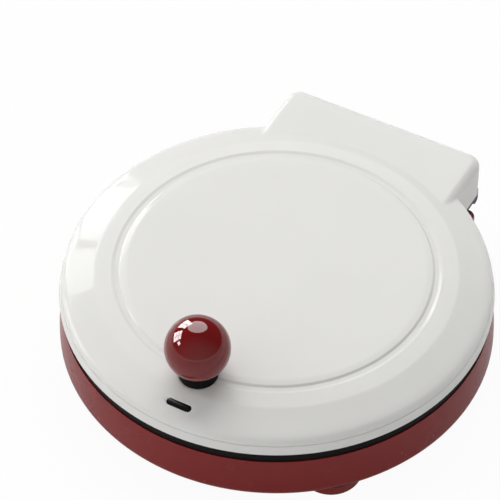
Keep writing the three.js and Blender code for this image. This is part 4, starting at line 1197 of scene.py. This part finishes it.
def sky_direction(turn, height):
    """A direction by its degrees to the left of straight away from the camera, and above the horizon."""
    turn, height = math.radians(turn), math.radians(height)
    level = math.cos(height)
    return from_camera_side(-math.sin(turn) * level, math.cos(turn) * level, math.sin(height))


def span(degrees):
    """The width at the lamps' distance that covers an angle."""
    return 2 * LAMP_DISTANCE * math.tan(math.radians(degrees) / 2)


def window_lamp(name, turn, height, wide, tall, columns, rows, light):
    """A window, placed and sized by angles in degrees: its light, and the reflection of its panes."""
    direction = sky_direction(turn, height)
    lamp(name, direction, span(wide), span(tall), light, False)
    across = Vector((0, 0, 1)).cross(direction).normalized()
    up = direction.cross(across)
    pane_width, pane_height = span(wide) / columns, span(tall) / rows
    for column in range(columns):
        for row in range(rows):
            pane = lamp(f"{name}_pane_{column}{row}", direction, pane_width * PANE_SHARE,
                        pane_height * PANE_SHARE, WINDOW_SHINE, True)
            pane.location += across * ((column - (columns - 1) / 2) * pane_width)
            pane.location += up * ((row - (rows - 1) / 2) * pane_height)


def make_lamps():
    """A round lamp overhead, three windows on the left, and a low light beside the base."""
    overhead, width = sky_direction(0, TOP_HEIGHT), span(TOP_SPAN)
    lamp("top_lamp", overhead, width, width, TOP_LIGHT, False, "DISK")
    lamp("top_lamp_shine", overhead, width, width, TOP_SHINE, True, "DISK")
    window_lamp("left_window", 30, 24, 25, 30, 2, 3, WINDOW_LIGHTS[0])
    window_lamp("side_window", 69, 23, 28, 29, 2, 3, WINDOW_LIGHTS[1])
    window_lamp("far_window", 96, 25.6, 12, 10, 1, 1, WINDOW_LIGHTS[2])
    lamp("low_lamp", sky_direction(112, 7), span(30), span(11), LOW_LIGHT, False)


def room(tree, direction, high, fall, fill):
    """A room's level by direction: white at the horizon, dimmer higher up, brighter on the camera's side."""
    sky = ranged(tree, made(tree, "SeparateXYZ", "Z", {"Vector": direction}), 1.0, high, *fall)
    sides = {0: direction, 1: from_camera_side(0, -1, 0)}
    towards = made(tree, "VectorMath", "Value", sides, operation="DOT_PRODUCT")
    return calculated(tree, "ADD", sky, ranged(tree, towards, 0, fill, 0, 1))


def make_world():
    """A studio that is plain white to the camera, and otherwise a room with a bright horizon."""
    world = bpy.data.worlds.new("studio")
    bpy.context.scene.world = world
    world.use_nodes = True
    tree = world.node_tree
    direction = made(tree, "TexCoord", "Generated", {})
    path = tree.nodes.new("ShaderNodeLightPath")
    level = room(tree, direction, ROOM_HIGH, ROOM_FALL, ROOM_FILL)
    glossy, through = path.outputs["Is Glossy Ray"], path.outputs["Is Transmission Ray"]
    mirrored = calculated(tree, "MAXIMUM", glossy, through)
    shine = room(tree, direction, SHINE_HIGH, SHINE_FALL, SHINE_FILL)
    level = ranged(tree, mirrored, level, shine, 0, 1)
    level = ranged(tree, path.outputs["Is Camera Ray"], level, 1, 0, 1)
    feed(tree, tree.nodes["Background"], {"Color": (1, 1, 1, 1), "Strength": level})


def make_floor():
    """A pale floor that looks near white to the camera but for the object's shadow."""
    half = FLOOR_SIZE / MM / 2
    corners = [(x * half, y * half, 0) for x, y in ((-1, -1), (1, -1), (1, 1), (-1, 1))]
    floor = solid("floor", (corners, [[0, 1, 2, 3]]))
    material, tree, shader = start_material("floor")
    tree.nodes.remove(shader)
    path = tree.nodes.new("ShaderNodeLightPath")
    share = 0.0
    for kind, amount in (("Is Camera Ray", FLOOR_GLOW), ("Is Glossy Ray", FLOOR_SHINE),
                         ("Is Transmission Ray", FLOOR_GLOW)):
        share = calculated(tree, "MAXIMUM", share, calculated(tree, "MULTIPLY", path.outputs[kind], amount))
    diffuse = made(tree, "BsdfDiffuse", "BSDF", {"Color": FLOOR_COLOUR})
    glow = made(tree, "Emission", "Emission", {})
    mix = made(tree, "MixShader", "Shader", {0: share, 1: diffuse, 2: glow})
    feed(tree, tree.nodes["Material Output"], {"Surface": mix})
    floor.data.materials.append(material)


bpy.context.scene.view_settings.view_transform = "Standard"
make_camera()
make_lamps()
make_world()
make_floor()
dress_cad_nodes()
make_lid()
make_lens()
make_knob()
make_base()
make_feet()
make_base_ring()
make_lower_plate()
make_lid_ring()
make_upper_plate()
make_hinge_plate()
make_screws()
make_hinge_pins()
make_gland()
